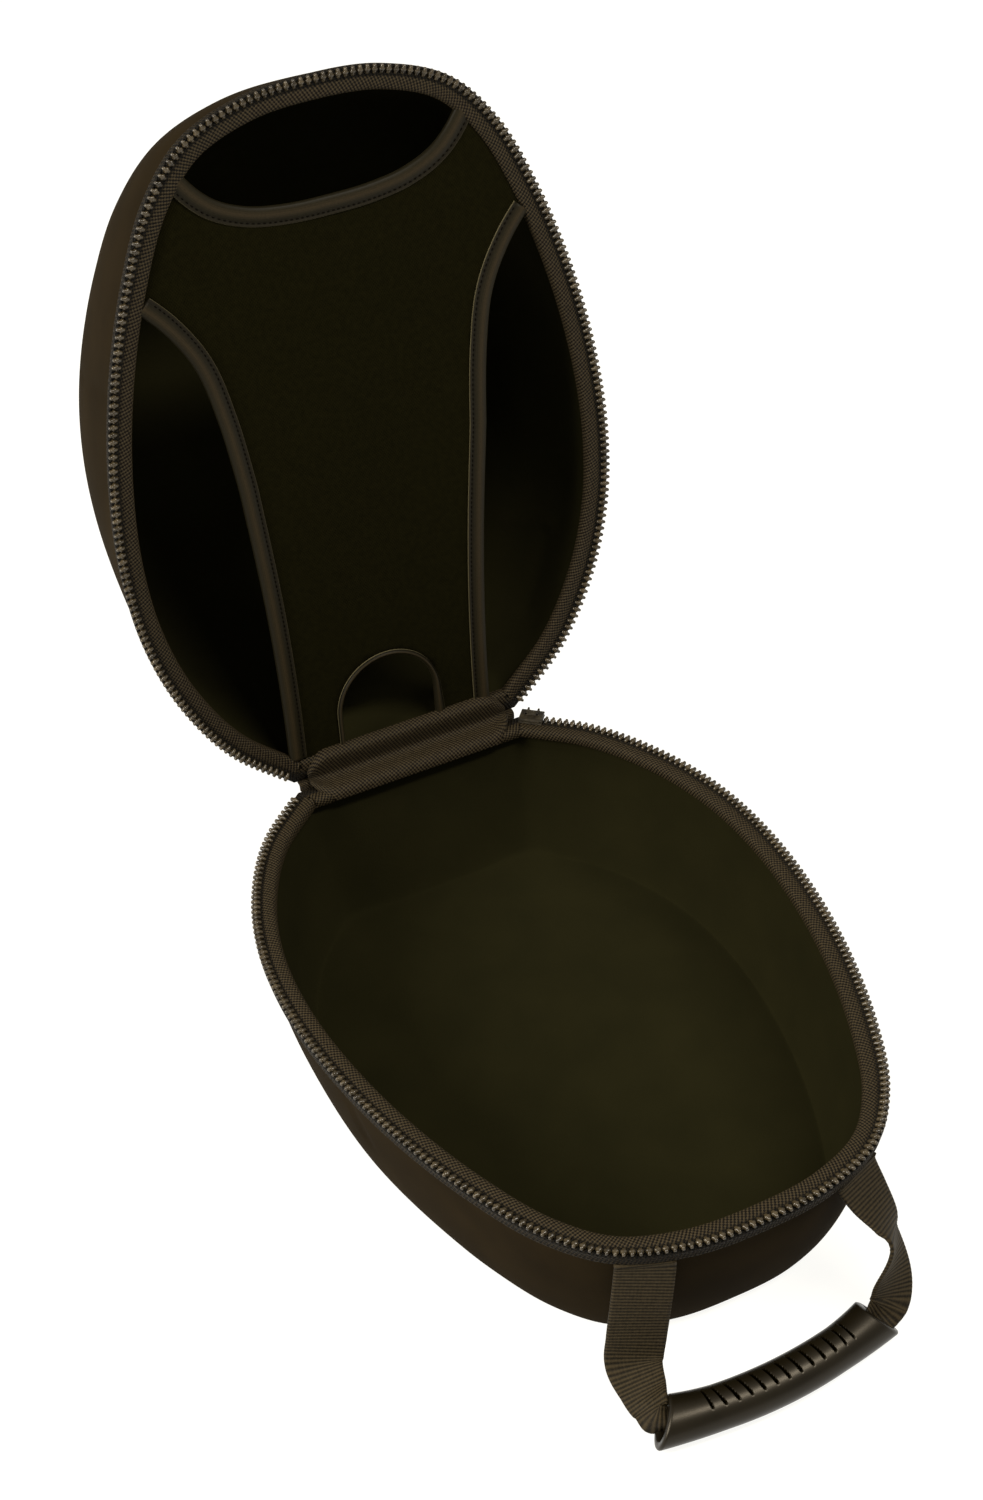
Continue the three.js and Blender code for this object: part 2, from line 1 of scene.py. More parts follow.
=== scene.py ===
import bisect
import json
import math
import bmesh
import bpy
from mathutils import Matrix, Vector, noise
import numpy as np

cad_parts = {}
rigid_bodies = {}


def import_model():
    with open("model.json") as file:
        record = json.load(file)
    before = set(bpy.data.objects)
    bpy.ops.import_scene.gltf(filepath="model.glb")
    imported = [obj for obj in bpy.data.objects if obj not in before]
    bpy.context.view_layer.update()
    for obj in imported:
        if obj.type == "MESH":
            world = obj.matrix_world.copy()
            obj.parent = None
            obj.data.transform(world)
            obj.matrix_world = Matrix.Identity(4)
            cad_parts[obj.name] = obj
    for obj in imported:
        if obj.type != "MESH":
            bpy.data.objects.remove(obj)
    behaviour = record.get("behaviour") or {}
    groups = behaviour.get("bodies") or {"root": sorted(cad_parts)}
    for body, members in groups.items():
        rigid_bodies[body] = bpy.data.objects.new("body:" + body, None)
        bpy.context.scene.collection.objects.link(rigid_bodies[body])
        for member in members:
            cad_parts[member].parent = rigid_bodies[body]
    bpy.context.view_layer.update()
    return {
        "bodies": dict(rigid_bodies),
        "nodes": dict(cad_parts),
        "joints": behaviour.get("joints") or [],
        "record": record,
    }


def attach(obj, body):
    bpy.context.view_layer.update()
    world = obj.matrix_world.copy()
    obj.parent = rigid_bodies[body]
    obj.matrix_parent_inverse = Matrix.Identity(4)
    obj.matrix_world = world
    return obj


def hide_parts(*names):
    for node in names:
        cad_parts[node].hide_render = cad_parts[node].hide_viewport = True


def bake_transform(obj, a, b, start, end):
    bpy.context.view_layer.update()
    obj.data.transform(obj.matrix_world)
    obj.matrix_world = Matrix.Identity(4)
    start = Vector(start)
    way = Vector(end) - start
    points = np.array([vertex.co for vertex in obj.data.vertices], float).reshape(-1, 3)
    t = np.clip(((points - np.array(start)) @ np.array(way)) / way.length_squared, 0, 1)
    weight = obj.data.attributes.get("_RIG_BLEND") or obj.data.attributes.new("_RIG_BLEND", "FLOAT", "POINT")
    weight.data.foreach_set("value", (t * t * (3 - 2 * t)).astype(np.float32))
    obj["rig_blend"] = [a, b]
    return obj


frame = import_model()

# The table and the studio: the bag stands on a white acrylic light table under soft light from
# the left. The camera looks down on the open bag from its left front, over the carry handle.
mm = 0.001

camera_data = bpy.data.cameras.new("camera")
camera_data.sensor_fit = "VERTICAL"
camera_data.sensor_height = 36
camera_data.lens = 57.07
camera_data.clip_start = 0.02
camera = bpy.data.objects.new("camera", camera_data)
camera_right = (0.8947, -0.4444, -0.0439)
camera_up = (0.312, 0.5518, 0.7734)
camera_back = (-0.3195, -0.7057, 0.6323)
camera_turn = Matrix((camera_right, camera_up, camera_back)).transposed().to_4x4()
camera.matrix_world = Matrix.Translation((-0.3429, -0.6866, 0.8231)) @ camera_turn
bpy.context.collection.objects.link(camera)
bpy.context.scene.camera = camera
bpy.context.scene.view_settings.view_transform = "Standard"


def linear(hex_colour):
    """The linear colour of an sRGB hex value, with full alpha."""
    def channel(pair):
        c = int(pair, 16) / 255
        return c / 12.92 if c <= 0.04045 else ((c + 0.055) / 1.055) ** 2.4
    return (*(channel(hex_colour[i:i + 2]) for i in (1, 3, 5)), 1.0)


def add_node(tree, kind, inputs=None, **settings):
    """Adds a node, gives it its settings, and sets or links its inputs."""
    made = tree.nodes.new(kind)
    for key, value in settings.items():
        setattr(made, key, value)
    for key, value in (inputs or {}).items():
        if isinstance(value, bpy.types.NodeSocket):
            tree.links.new(value, made.inputs[key])
        else:
            made.inputs[key].default_value = value
    return made


def new_finish(name):
    """A material with its tree, shader and Object coordinates."""
    finish = bpy.data.materials.new(name)
    finish.use_nodes = True
    tree = finish.node_tree
    shader = tree.nodes["Principled BSDF"]
    coordinates = tree.nodes.new("ShaderNodeTexCoord")
    return finish, tree, shader, coordinates


def feed(tree, shader, socket, value):
    tree.links.new(value, shader.inputs[socket])


table = bpy.data.objects.new("table_top", bpy.data.meshes.new("table_top"))
table_mesh = bmesh.new()
bmesh.ops.create_grid(table_mesh, x_segments=1, y_segments=1, size=6)
bmesh.ops.translate(table_mesh, verts=table_mesh.verts, vec=(0, 0, -0.3 * mm))
table_mesh.to_mesh(table.data)
table_mesh.free()
bpy.context.collection.objects.link(table)
# opal acrylic: matt, and lit a little from below, so that shadows on it stay pale
acrylic, _, shader, _ = new_finish("opal_acrylic_table")
shader.inputs["Base Color"].default_value = linear("#72716f")
shader.inputs["Roughness"].default_value = 0.9
shader.inputs["Specular IOR Level"].default_value = 0.1
shader.inputs["Emission Color"].default_value = linear("#fffefa")
shader.inputs["Emission Strength"].default_value = 0.92
table.data.materials.append(acrylic)

studio = bpy.data.worlds.new("studio")
bpy.context.scene.world = studio
studio.use_nodes = True
studio.node_tree.nodes["Background"].inputs["Color"].default_value = linear("#fffcf6")
studio.node_tree.nodes["Background"].inputs["Strength"].default_value = 0.42


def soft_box(name, at, aim, width, height, watts):
    """A rectangular soft light that faces a point."""
    data = bpy.data.lights.new(name, "AREA")
    data.shape = "RECTANGLE"
    data.size = width
    data.size_y = height
    data.energy = watts
    data.color = linear("#fff8ea")[:3]
    light = bpy.data.objects.new(name, data)
    turn = (Vector(at) - Vector(aim)).to_track_quat("Z", "Y").to_matrix().to_4x4()
    light.matrix_world = Matrix.Translation(at) @ turn
    bpy.context.collection.objects.link(light)


soft_box("key_light", (-1.9, 0.15, 1.35), (0, 0, 0.1), 1.2, 1.2, 80)
soft_box("top_light", (0.85, -0.9, 2.2), (0.85, -0.3, 0), 1.6, 0.3, 58)

# Moulded half shells: smooth polyester cloth over 4 mm foam, heat-moulded to two bowls with
# one egg-shaped rim. The lid is the deeper bowl; its back edge meets the base at the hinge.
rim_length = 340
rim_width = 250
hinge_width = 122
base_height = 72
lid_depth = 102
rim_gap = 5.6
lid_angle = 97
hinge_y = rim_length / 2
hinge_height = base_height + rim_gap / 2
# share of the half width, share of the length from the hinge
rim_shape = [
    (hinge_width / rim_width, 0), (0.725, 0.082), (0.885, 0.185), (0.974, 0.295), (1, 0.41),
    (0.975, 0.535), (0.905, 0.665), (0.795, 0.79), (0.665, 0.89), (0.5, 0.957), (0.26, 0.992),
    (0, 1),
]


def rim_point(side, along):
    return Vector((side * rim_width / 2, -along * rim_length))


def smooth_line(points, count):
    """Points on a smooth curve through the given ones (centripetal Catmull-Rom)."""
    ends = [2 * points[0] - points[1], *points, 2 * points[-1] - points[-2]]
    line = []
    for p0, p1, p2, p3 in zip(ends, ends[1:], ends[2:], ends[3:]):
        d0, d1, d2 = ((b - a).length ** 0.5 for a, b in ((p0, p1), (p1, p2), (p2, p3)))
        t1 = ((p1 - p0) / d0 - (p2 - p0) / (d0 + d1) + (p2 - p1) / d1) * d1
        t2 = ((p2 - p1) / d1 - (p3 - p1) / (d1 + d2) + (p3 - p2) / d2) * d1
        for i in range(count):
            w = i / count
            line.append(
                p1 + t1 * w + (3 * (p2 - p1) - 2 * t1 - t2) * w ** 2
                + (2 * (p1 - p2) + t1 + t2) * w ** 3
            )
    return line + [points[-1]]


class Track:
    """A line that is walked by its length."""

    def __init__(self, points):
        self.points = points
        self.lengths = [0.0]
        for a, b in zip(points, points[1:]):
            self.lengths.append(self.lengths[-1] + (b - a).length)
        self.length = self.lengths[-1]

    def at(self, distance):
        """The point and the direction at a distance from the start."""
        i = bisect.bisect_right(self.lengths, distance) - 1
        i = max(0, min(i, len(self.points) - 2))
        a, b = self.points[i], self.points[i + 1]
        share = (distance - self.lengths[i]) / (self.lengths[i + 1] - self.lengths[i])
        return a.lerp(b, share), (b - a).normalized()

    def spread(self, count):
        return [self.at(self.length * i / count)[0] for i in range(count + 1)]


def mirrored(points):
    return [Vector((-p.x, p.y)) for p in points]


half_rim = [rim_point(*row) for row in rim_shape]
rim_track = Track(smooth_line([*half_rim, *mirrored(half_rim[:-1])[::-1]], 60))
rim_columns = 360
side_column = rim_columns // 4
hinge_columns = 40
rim_front = rim_track.spread(rim_columns)
rim_loop = rim_front + [
    rim_front[-1].lerp(rim_front[0], i / hinge_columns) for i in range(1, hinge_columns)
]


def inward(a, b):
    d = (b - a).normalized()
    return Vector((d.y, -d.x))


def rim_mitre(i):
    n1 = inward(rim_loop[i - 1], rim_loop[i])
    n2 = inward(rim_loop[i], rim_loop[(i + 1) % len(rim_loop)])
    return (n1 + n2) / (1 + n1.dot(n2))


rim_mitres = [rim_mitre(i) for i in range(len(rim_loop))]
rim_run = [0.0]
for a, b in zip(rim_loop, rim_loop[1:]):
    rim_run.append(rim_run[-1] + (b - a).length)
rim_around = rim_run[-1] + (rim_loop[0] - rim_loop[-1]).length


def inset_loop(inset):
    return [p + m * inset for p, m in zip(rim_loop, rim_mitres)]


# from a half's own place (x and y in the rim's plane, height above its tape) to the bag's
base_frame = Matrix.Scale(mm, 4) @ Matrix.Translation((0, hinge_y, base_height))
lid_frame = (
    Matrix.Scale(mm, 4)
    @ Matrix.Translation((0, hinge_y, hinge_height))
    @ Matrix.Rotation(math.radians(-lid_angle), 4, "X")
    @ Matrix.Translation((0, 0, rim_gap / 2))
    @ Matrix.Diagonal((1, 1, -1, 1))
)


def lifted(frame, loop, height):
    return [frame @ Vector((p.x, p.y, height)) for p in loop]


def new_piece(name, mesh, finish, smooth=True):
    """An object of a bmesh, with faces outwards and its finish."""
    bmesh.ops.recalc_face_normals(mesh, faces=mesh.faces)
    data = bpy.data.meshes.new(name)
    mesh.to_mesh(data)
    mesh.free()
    for face in data.polygons:
        face.use_smooth = smooth
    data.materials.append(finish)
    piece = bpy.data.objects.new(name, data)
    bpy.context.collection.objects.link(piece)
    return piece


def first_ring(mesh, points, closed=True):
    """A line of edges through the points, which remember their place in it."""
    place = mesh.verts.layers.int.new("place")
    mesh.verts.layers.float.new("run")
    mesh.verts.layers.float.new("down")
    verts = [mesh.verts.new(p) for p in points]
    for i, v in enumerate(verts):
        v[place] = i
    pairs = list(zip(verts, verts[1:] + verts[:1]))
    return [mesh.edges.new(pair) for pair in (pairs if closed else pairs[:-1])]


def draw_ring(mesh, ring, points):
    """Draws the last ring out to new points, as cloth is drawn over a mould."""
    place = mesh.verts.layers.int["place"]
    made = bmesh.ops.extrude_edge_only(mesh, edges=ring)["geom"]
    for v in made:
        if isinstance(v, bmesh.types.BMVert):
            v.co = points[v[place]]
    return [e for e in made if isinstance(e, bmesh.types.BMEdge)]


def drawn_skin(rings, closed=True, runs=None, downs=None):
    """A skin drawn through rings of points. runs and downs are the lengths of the cloth
    along and across the rings, in millimetres, and are kept on the points."""
    mesh = bmesh.new()
    ring = first_ring(mesh, rings[0], closed)
    place, run, down = (
        mesh.verts.layers.int["place"],
        mesh.verts.layers.float["run"],
        mesh.verts.layers.float["down"],
    )
    for i, points in enumerate(rings):
        if i:
            ring = draw_ring(mesh, ring, points)
        for v in {v for e in ring for v in e.verts}:
            v[run] = runs[v[place]] if runs else 0
            v[down] = downs[i] if downs else 0
    return mesh, ring


def lay_cloth(mesh, around=0, across=0):
    """Lays the run and down lengths out as the cloth's own UV map, in millimetres."""
    run, down = mesh.verts.layers.float["run"], mesh.verts.layers.float["down"]
    uv = mesh.loops.layers.uv.new("cloth")
    for face in mesh.faces:
        us = [loop.vert[run] for loop in face.loops]
        vs = [loop.vert[down] for loop in face.loops]
        u_wraps = around and max(us) - min(us) > around / 2
        v_wraps = across and max(vs) - min(vs) > across / 2
        for loop, u, v in zip(face.loops, us, vs):
            if u_wraps and u < around / 2:
                u += around
            if v_wraps and v < across / 2:
                v += across
            loop[uv].uv = (u, v)


# across and along: the share of the rim left at the flat end; centre: what it shrinks
# towards; round: how full the wall is
base = {
    "body": "base", "frame": base_frame, "depth": base_height,
    "across": 0.87, "along": 0.878, "centre": 178, "round": 1.3,
}
lid = {
    "body": "lid", "frame": lid_frame, "depth": lid_depth,
    "across": 0.86, "along": 0.61, "centre": 170, "round": 1.6,
}


def bowl_loop(half, share, inset):
    left = (1 - min(share, 1) ** half["round"]) ** (1 / half["round"])
    across = half["across"] + (1 - half["across"]) * left
    along = half["along"] + (1 - half["along"]) * left
    return [
        Vector((p.x * across, -half["centre"] + (p.y + half["centre"]) * along))
        for p in inset_loop(inset)
    ]


# shares of the way out from the middle, at the rings of the flat end
floor_shares = (0.985, 0.95, 0.88, 0.78, 0.66, 0.53, 0.4, 0.27, 0.14, 0.05)


def bowl_skin(half, depth, inset, first, steps=34):
    """The wall and flat end of a bowl, drawn from a first depth to its full depth."""
    depths = [first]
    for i in range(1, steps + 1):
        d = depth * math.sin(i / steps * math.pi / 2) ** (2 / half["round"])
        if d > first + 0.8:
            depths.append(d)
    loops = [bowl_loop(half, d / depth, inset) for d in depths]
    floor = loops[-1]
    middle = Vector((0, -half["centre"]))
    heights = [-d for d in depths]
    for share in floor_shares:
        loops.append([middle + (p - middle) * share for p in floor])
        heights.append(-depth)
    downs = [0.0]
    for a, b, ha, hb in zip(loops, loops[1:], heights, heights[1:]):
        downs.append(downs[-1] + math.hypot((b[side_column] - a[side_column]).length, hb - ha))
    rings = [lifted(half["frame"], loop, h) for loop, h in zip(loops, heights)]
    mesh, ring = drawn_skin(rings, True, rim_run, downs)
    bmesh.ops.contextual_create(mesh, geom=ring)
    return mesh


def soften(mesh, size, depth, seed):
    """Moves the skin in and out in soft swells, as laminated foam sets after moulding."""
    mesh.normal_update()
    offset = Vector((seed, 2.3 * seed, -seed))
    for v in mesh.verts:
        v.co += v.normal * depth * mm * noise.noise(v.co / (size * mm) + offset)


def press_crease(mesh, a, b, width, depth):
    """Presses a soft crease of that width and depth along the line from a to b."""
    a, b = Vector(a) * mm, Vector(b) * mm
    mesh.normal_update()
    for v in mesh.verts:
        share = max(0, min(1, (v.co - a).dot(b - a) / (b - a).length_squared))
        away = (v.co - a.lerp(b, share)).length / (width * mm)
        if away < 2:
            v.co -= v.normal * depth * mm * math.exp(-4 * away * away)


def thicken(piece, thickness, offset):
    wall = piece.modifiers.new("wall", "SOLIDIFY")
    wall.thickness = thickness * mm
    wall.offset = offset
    wall.use_even_offset = False


# Polyester cloth, laminated and calendered: fine plain weave, matt, near black-brown, with
# a faint bloom where light grazes it and paler rubbed patches.
# a noise scale is a count per metre: 38 gives clouds 26 mm wide, 1400 a grain of 0.7 mm
shell_cloth, tree, shader, at = new_finish("laminated_polyester_cloth")
mottle = add_node(tree, "ShaderNodeTexNoise", {"Vector": at.outputs["Object"], "Scale": 38.0, "Detail": 4.0})
fibre = add_node(tree, "ShaderNodeTexNoise", {"Vector": at.outputs["Object"], "Scale": 1400.0, "Detail": 2.0})
tone = add_node(tree, "ShaderNodeValToRGB", {"Fac": mottle.outputs["Fac"]})
tone.color_ramp.elements[0].position = 0.3
tone.color_ramp.elements[0].color = linear("#181208")
tone.color_ramp.elements[1].position = 0.72
tone.color_ramp.elements[1].color = linear("#1e170b")
handled = add_node(tree, "ShaderNodeTexNoise", {"Vector": at.outputs["Object"], "Scale": 11.0, "Detail": 6.0})
scuffed = add_node(
    tree, "ShaderNodeMapRange",
    {"Value": handled.outputs["Fac"], "From Min": 0.58, "From Max": 0.78, "To Max": 0.35},
)
# a colour mix takes its two colours at sockets 6 and 7 and gives the result at 2
rubbed = add_node(
    tree, "ShaderNodeMix",
    {0: scuffed.outputs["Result"], 6: tone.outputs["Color"], 7: linear("#2d2415")},
    data_type="RGBA",
)
feed(tree, shader, "Base Color", rubbed.outputs[2])
shader.inputs["Roughness"].default_value = 0.9
shader.inputs["IOR"].default_value = 1.08
shader.inputs["Sheen Weight"].default_value = 0.01
shader.inputs["Sheen Tint"].default_value = linear("#b9a070")
grain = add_node(
    tree, "ShaderNodeBump", {"Height": fibre.outputs["Fac"], "Strength": 0.25, "Distance": 0.12 * mm},
)
feed(tree, shader, "Normal", grain.outputs["Normal"])
cloth_wall = 2.0


def ease(mesh, verts, times):
    for _ in range(times):
        bmesh.ops.smooth_vert(
            mesh, verts=verts, factor=0.5, use_axis_x=True, use_axis_y=True, use_axis_z=True
        )


def cover_of(half, seed, creases=()):
    mesh = bowl_skin(half, half["depth"], 3.0, 1.3)
    ease(mesh, [v for v in mesh.verts if not v.is_boundary], 3)
    bmesh.ops.recalc_face_normals(mesh, faces=mesh.faces)
    soften(mesh, 62, 0.8, seed)
    for crease in creases:
        press_crease(mesh, *crease)
    for v in mesh.verts:
        v.co.z = max(v.co.z, 0)
    lay_cloth(mesh, rim_around)
    piece = new_piece(half["body"] + "_cover", mesh, shell_cloth)
    thicken(piece, cloth_wall, -1)
    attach(piece, half["body"])
    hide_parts(half["body"] + "_shell")


# soft handling dents: from a point to a point of the skin, their width and depth
cover_of(base, 3.1, [((-118, -14, 62), (-112, -20, 34), 9, 0.7)])
cover_of(lid, 7.7, [((-104, 268, 268), (-112, 206, 292), 9, 0.8)])

# Lining: brushed tricot knit, heat-bonded to the inside of the foam. It shows nearly black,
# with a soft nap, and takes the bowls' shape.
lining_knit, tree, shader, at = new_finish("brushed_tricot_lining")
nap = add_node(tree, "ShaderNodeTexNoise", {"Vector": at.outputs["Object"], "Scale": 900.0, "Detail": 3.0})
cloud = add_node(tree, "ShaderNodeTexNoise", {"Vector": at.outputs["Object"], "Scale": 30.0, "Detail": 3.0})
tone = add_node(tree, "ShaderNodeValToRGB", {"Fac": cloud.outputs["Fac"]})
tone.color_ramp.elements[0].color = linear("#151408")
tone.color_ramp.elements[1].color = linear("#1e1c0d")
feed(tree, shader, "Base Color", tone.outputs["Color"])
shader.inputs["Roughness"].default_value = 0.95
shader.inputs["IOR"].default_value = 1.1
shader.inputs["Sheen Weight"].default_value = 0.01
shader.inputs["Sheen Tint"].default_value = linear("#6f6a4c")
fuzz = add_node(
    tree, "ShaderNodeBump", {"Height": nap.outputs["Fac"], "Strength": 0.4, "Distance": 0.2 * mm},
)
feed(tree, shader, "Normal", fuzz.outputs["Normal"])
shell_wall = 4
lining_wall = 1.8
corner_columns = 9


def near_hinge_corner(column):
    away = min(column % len(rim_loop), abs(column - rim_columns), len(rim_loop) - column)
    return away < corner_columns


def lining_of(half, seed, creases=()):
    inner = bowl_skin(half, half["depth"] - shell_wall, 7.0, 2.0)
    place = inner.verts.layers.int["place"]
    corners = [v for v in inner.verts if near_hinge_corner(v[place]) and not v.is_boundary]
    ease(inner, corners, 14)
    ease(inner, [v for v in inner.verts if not v.is_boundary], 3)
    bmesh.ops.recalc_face_normals(inner, faces=inner.faces)
    soften(inner, 55, 0.5, seed)
    for crease in creases:
        press_crease(inner, *crease)
    lay_cloth(inner, rim_around)
    piece = new_piece(half["body"] + "_lining", inner, lining_knit)
    thicken(piece, lining_wall, 1)
    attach(piece, half["body"])
    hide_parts(half["body"] + "_shell")


lining_of(base, 11.9)
# two moulded steps and a rib inside the lid's right wall, where the foam creased in the mould
lining_of(lid, 15.3, [
    ((96, 275, 160), (116, 215, 189), 7, 1.1),
    ((90, 255, 132), (106, 215, 149), 7, 1.1),
    ((103, 216, 141), (85, 206, 109), 7, -1.2),
])

# Zip tape: a woven twill tape folded over each rim and sewn down. Its inner half rolls
# over the rim's padded edge, and its outer half turns down over the cover as a narrow welt.
# inset from the rim outline, height above the tape's face
tape_section = [
    (1.55, -6.2), (1.2, -5.9), (1.15, -5.3), (1.3, -4.9), (1.2, -4.2), (1.25, -2.9), (0.95, -2.3),
    (0.5, -1.9), (0.3, -1.4), (0.4, -0.85), (0.9, -0.45), (2.0, -0.35), (2.8, -0.25),
    (3.8, -0.05), (4.8, 0.0), (5.2, -0.3), (5.6, 0.0), (6.2, 0.2), (7.2, 0.3), (8.4, 0.3),
    (9.6, 0.22), (10.5, -0.05), (11.1, -0.7), (11.5, -1.6), (11.6, -2.8), (11.55, -4.2),
    (11.3, -4.6), (11.1, -4.0), (10.9, -1.4), (5.0, -1.4), (3.3, -1.4), (2.75, -1.9),
    (2.7, -6.0), (2.2, -6.25),
]
# Twill woven: matt slanted ribs with beads on them, and painted shade that darkens the outer half, under the
# teeth and down the welt, against the roll.
woven_tape, tree, shader, at = new_finish("twill_polyester_tape")
rib_pitch = 1.75
rib_slant = 0.55
bead_pitch = 1.45
bead_slant = -0.45
tape_shade_reach = 20
cloth_at = add_node(tree, "ShaderNodeSeparateXYZ", {"Vector": at.outputs["UV"]})
slant = add_node(
    tree, "ShaderNodeMath", {0: cloth_at.outputs["Y"], 1: rib_slant, 2: cloth_at.outputs["X"]},
    operation="MULTIPLY_ADD",
)
rib = add_node(
    tree, "ShaderNodeMath", {0: slant.outputs[0], 1: math.tau / rib_pitch}, operation="MULTIPLY",
)
rib_wave = add_node(tree, "ShaderNodeMath", {0: rib.outputs[0]}, operation="SINE")
cross = add_node(
    tree, "ShaderNodeMath", {0: cloth_at.outputs["X"], 1: bead_slant, 2: cloth_at.outputs["Y"]},
    operation="MULTIPLY_ADD",
)
bead = add_node(
    tree, "ShaderNodeMath", {0: cross.outputs[0], 1: math.tau / bead_pitch}, operation="MULTIPLY",
)
bead_wave = add_node(tree, "ShaderNodeMath", {0: bead.outputs[0]}, operation="SINE")
weave = add_node(
    tree, "ShaderNodeMath", {0: bead_wave.outputs[0], 1: 0.7, 2: rib_wave.outputs[0]},
    operation="MULTIPLY_ADD",
)
fray = add_node(tree, "ShaderNodeTexNoise", {"Vector": at.outputs["Object"], "Scale": 900.0, "Detail": 2.0})
relief = add_node(
    tree, "ShaderNodeMath", {0: fray.outputs["Fac"], 1: 2.0, 2: weave.outputs[0]},
    operation="MULTIPLY_ADD",
)
height = add_node(tree, "ShaderNodeMapRange", {"Value": relief.outputs[0], "From Min": -0.8, "From Max": 2.6})
tone = add_node(tree, "ShaderNodeValToRGB", {"Fac": height.outputs["Result"]})
tone.color_ramp.elements[0].position = 0.36
tone.color_ramp.elements[0].color = linear("#070401")
tone.color_ramp.elements[1].position = 0.76
tone.color_ramp.elements[1].color = linear("#362e1f")
# painted shade: the outer half, up to 10 mm from the hem, is darkened as if in the teeth's shade, darkest at
# the cord, while the roll keeps its full colour
from_hem = add_node(
    tree, "ShaderNodeMath", {0: cloth_at.outputs["Y"], 1: 1 / tape_shade_reach}, operation="MULTIPLY",
)
tape_shade_ramp = add_node(tree, "ShaderNodeValToRGB", {"Fac": from_hem.outputs[0]})
tape_shade_ramp.color_ramp.elements[0].position = 0.2
tape_shade_ramp.color_ramp.elements[0].color = linear("#a8a8a8")
tape_shade_ramp.color_ramp.elements[1].position = 0.58
tape_shade_ramp.color_ramp.elements.new(0.3).color = linear("#707070")
tape_shade_ramp.color_ramp.elements.new(0.52).color = linear("#808080")
tape_with_painted_shade = add_node(
    tree, "ShaderNodeMix", {0: 1.0, 6: tone.outputs["Color"], 7: tape_shade_ramp.outputs["Color"]},
    data_type="RGBA", blend_type="MULTIPLY",
)
feed(tree, shader, "Base Color", tape_with_painted_shade.outputs[2])
shader.inputs["Roughness"].default_value = 0.65
shader.inputs["IOR"].default_value = 1.2
shader.inputs["Sheen Weight"].default_value = 0.02
shader.inputs["Sheen Tint"].default_value = linear("#b9a070")
ribbed = add_node(
    tree, "ShaderNodeBump", {"Height": height.outputs["Result"], "Strength": 0.9, "Distance": 0.4 * mm},
)
feed(tree, shader, "Normal", ribbed.outputs["Normal"])


def across_lengths(section):
    """The length of the cloth across a section, at each of its points and back at the first."""
    lengths = [0.0]
    for (a, b), (c, d) in zip(section, section[1:] + section[:1]):
        lengths.append(lengths[-1] + math.hypot(c - a, d - b))
    return lengths


for half in (base, lid):
    rings = [lifted(half["frame"], inset_loop(i), h) for i, h in tape_section]
    lengths = across_lengths(tape_section)
    mesh, ring = drawn_skin([*rings, rings[0]], True, rim_run, lengths)
    lay_cloth(mesh, rim_around)
    bmesh.ops.remove_doubles(mesh, verts=mesh.verts, dist=1e-7)
    tape = new_piece(half["body"] + "_tape", mesh, woven_tape)
    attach(tape, half["body"])
    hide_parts(half["body"] + "_zip_tape")

# Zip teeth: size 8 moulded acetal, 3.44 mm apart, each clamped over the tape's outer cord
# with two legs inside, broad shoulders and a small rounded head that stands out.
tooth_pitch = 3.44
chain_start = {"base": 15.2, "lid": 5.5}
chain_end = rim_track.length - 3
# place outwards from the rim outline, width along the chain, bottom and top above the tape
tooth_stations = [
    (-4.3, 0.8, 0.1, 0.5), (-4.1, 1.3, 0.0, 0.9), (-3.4, 1.5, 0.0, 1.35), (-2.8, 1.9, 0.0, 1.6),
    (-2.5, 2.75, 0.0, 1.8), (-1.8, 2.75, 0.0, 1.9), (-1.5, 1.7, 0.1, 1.85),
    (-0.9, 1.55, 0.2, 1.95), (-0.35, 1.35, 0.3, 1.9), (0.0, 0.9, 0.5, 1.6), (0.15, 0.4, 0.8, 1.3),
]
# Moulded smooth: a small bright shine on each tooth, and a slight change of tone between them.
acetal, tree, shader, at = new_finish("moulded_acetal")
shade = add_node(tree, "ShaderNodeTexNoise", {"Vector": at.outputs["Object"], "Scale": 260.0, "Detail": 1.0})
tone = add_node(tree, "ShaderNodeValToRGB", {"Fac": shade.outputs["Fac"]})
tone.color_ramp.elements[0].position = 0.3
tone.color_ramp.elements[0].color = linear("#241e12")
tone.color_ramp.elements[1].position = 0.7
tone.color_ramp.elements[1].color = linear("#433a29")
feed(tree, shader, "Base Color", tone.outputs["Color"])
shader.inputs["Roughness"].default_value = 0.26
shader.inputs["IOR"].default_value = 1.48
flow = add_node(tree, "ShaderNodeTexNoise", {"Vector": at.outputs["Object"], "Scale": 1800.0, "Detail": 2.0})
moulded = add_node(
    tree, "ShaderNodeBump", {"Height": flow.outputs["Fac"], "Strength": 0.1, "Distance": 0.05 * mm},
)
feed(tree, shader, "Normal", moulded.outputs["Normal"])


def tooth_ring(out, width, bottom, top):
    """Eight points round a tooth, with its corners cut off."""
    w, cut_w, cut_h = width / 2, width * 0.22, (top - bottom) * 0.3
    return [
        Vector((out, *p)) for p in (
            (-w, bottom), (w, bottom), (w, bottom + cut_h), (w, top - cut_h),
            (w - cut_w, top), (-w + cut_w, top), (-w, top - cut_h), (-w, bottom + cut_h),
        )
    ]


def in_chain(distance):
    """From a tooth's own place (outwards, along, up) to the rim's plane."""
    point, along = rim_track.at(distance)
    outward = Vector((-along.y, along.x))
    return Matrix((
        (outward.x, along.x, 0, point.x),
        (outward.y, along.y, 0, point.y),
        (0, 0, 1, 0),
        (0, 0, 0, 1),
    ))


def copied(mesh, geom, matrix):
    made = bmesh.ops.duplicate(mesh, geom=geom)["geom"]
    bmesh.ops.transform(mesh, matrix=matrix, verts=[v for v in made if isinstance(v, bmesh.types.BMVert)])


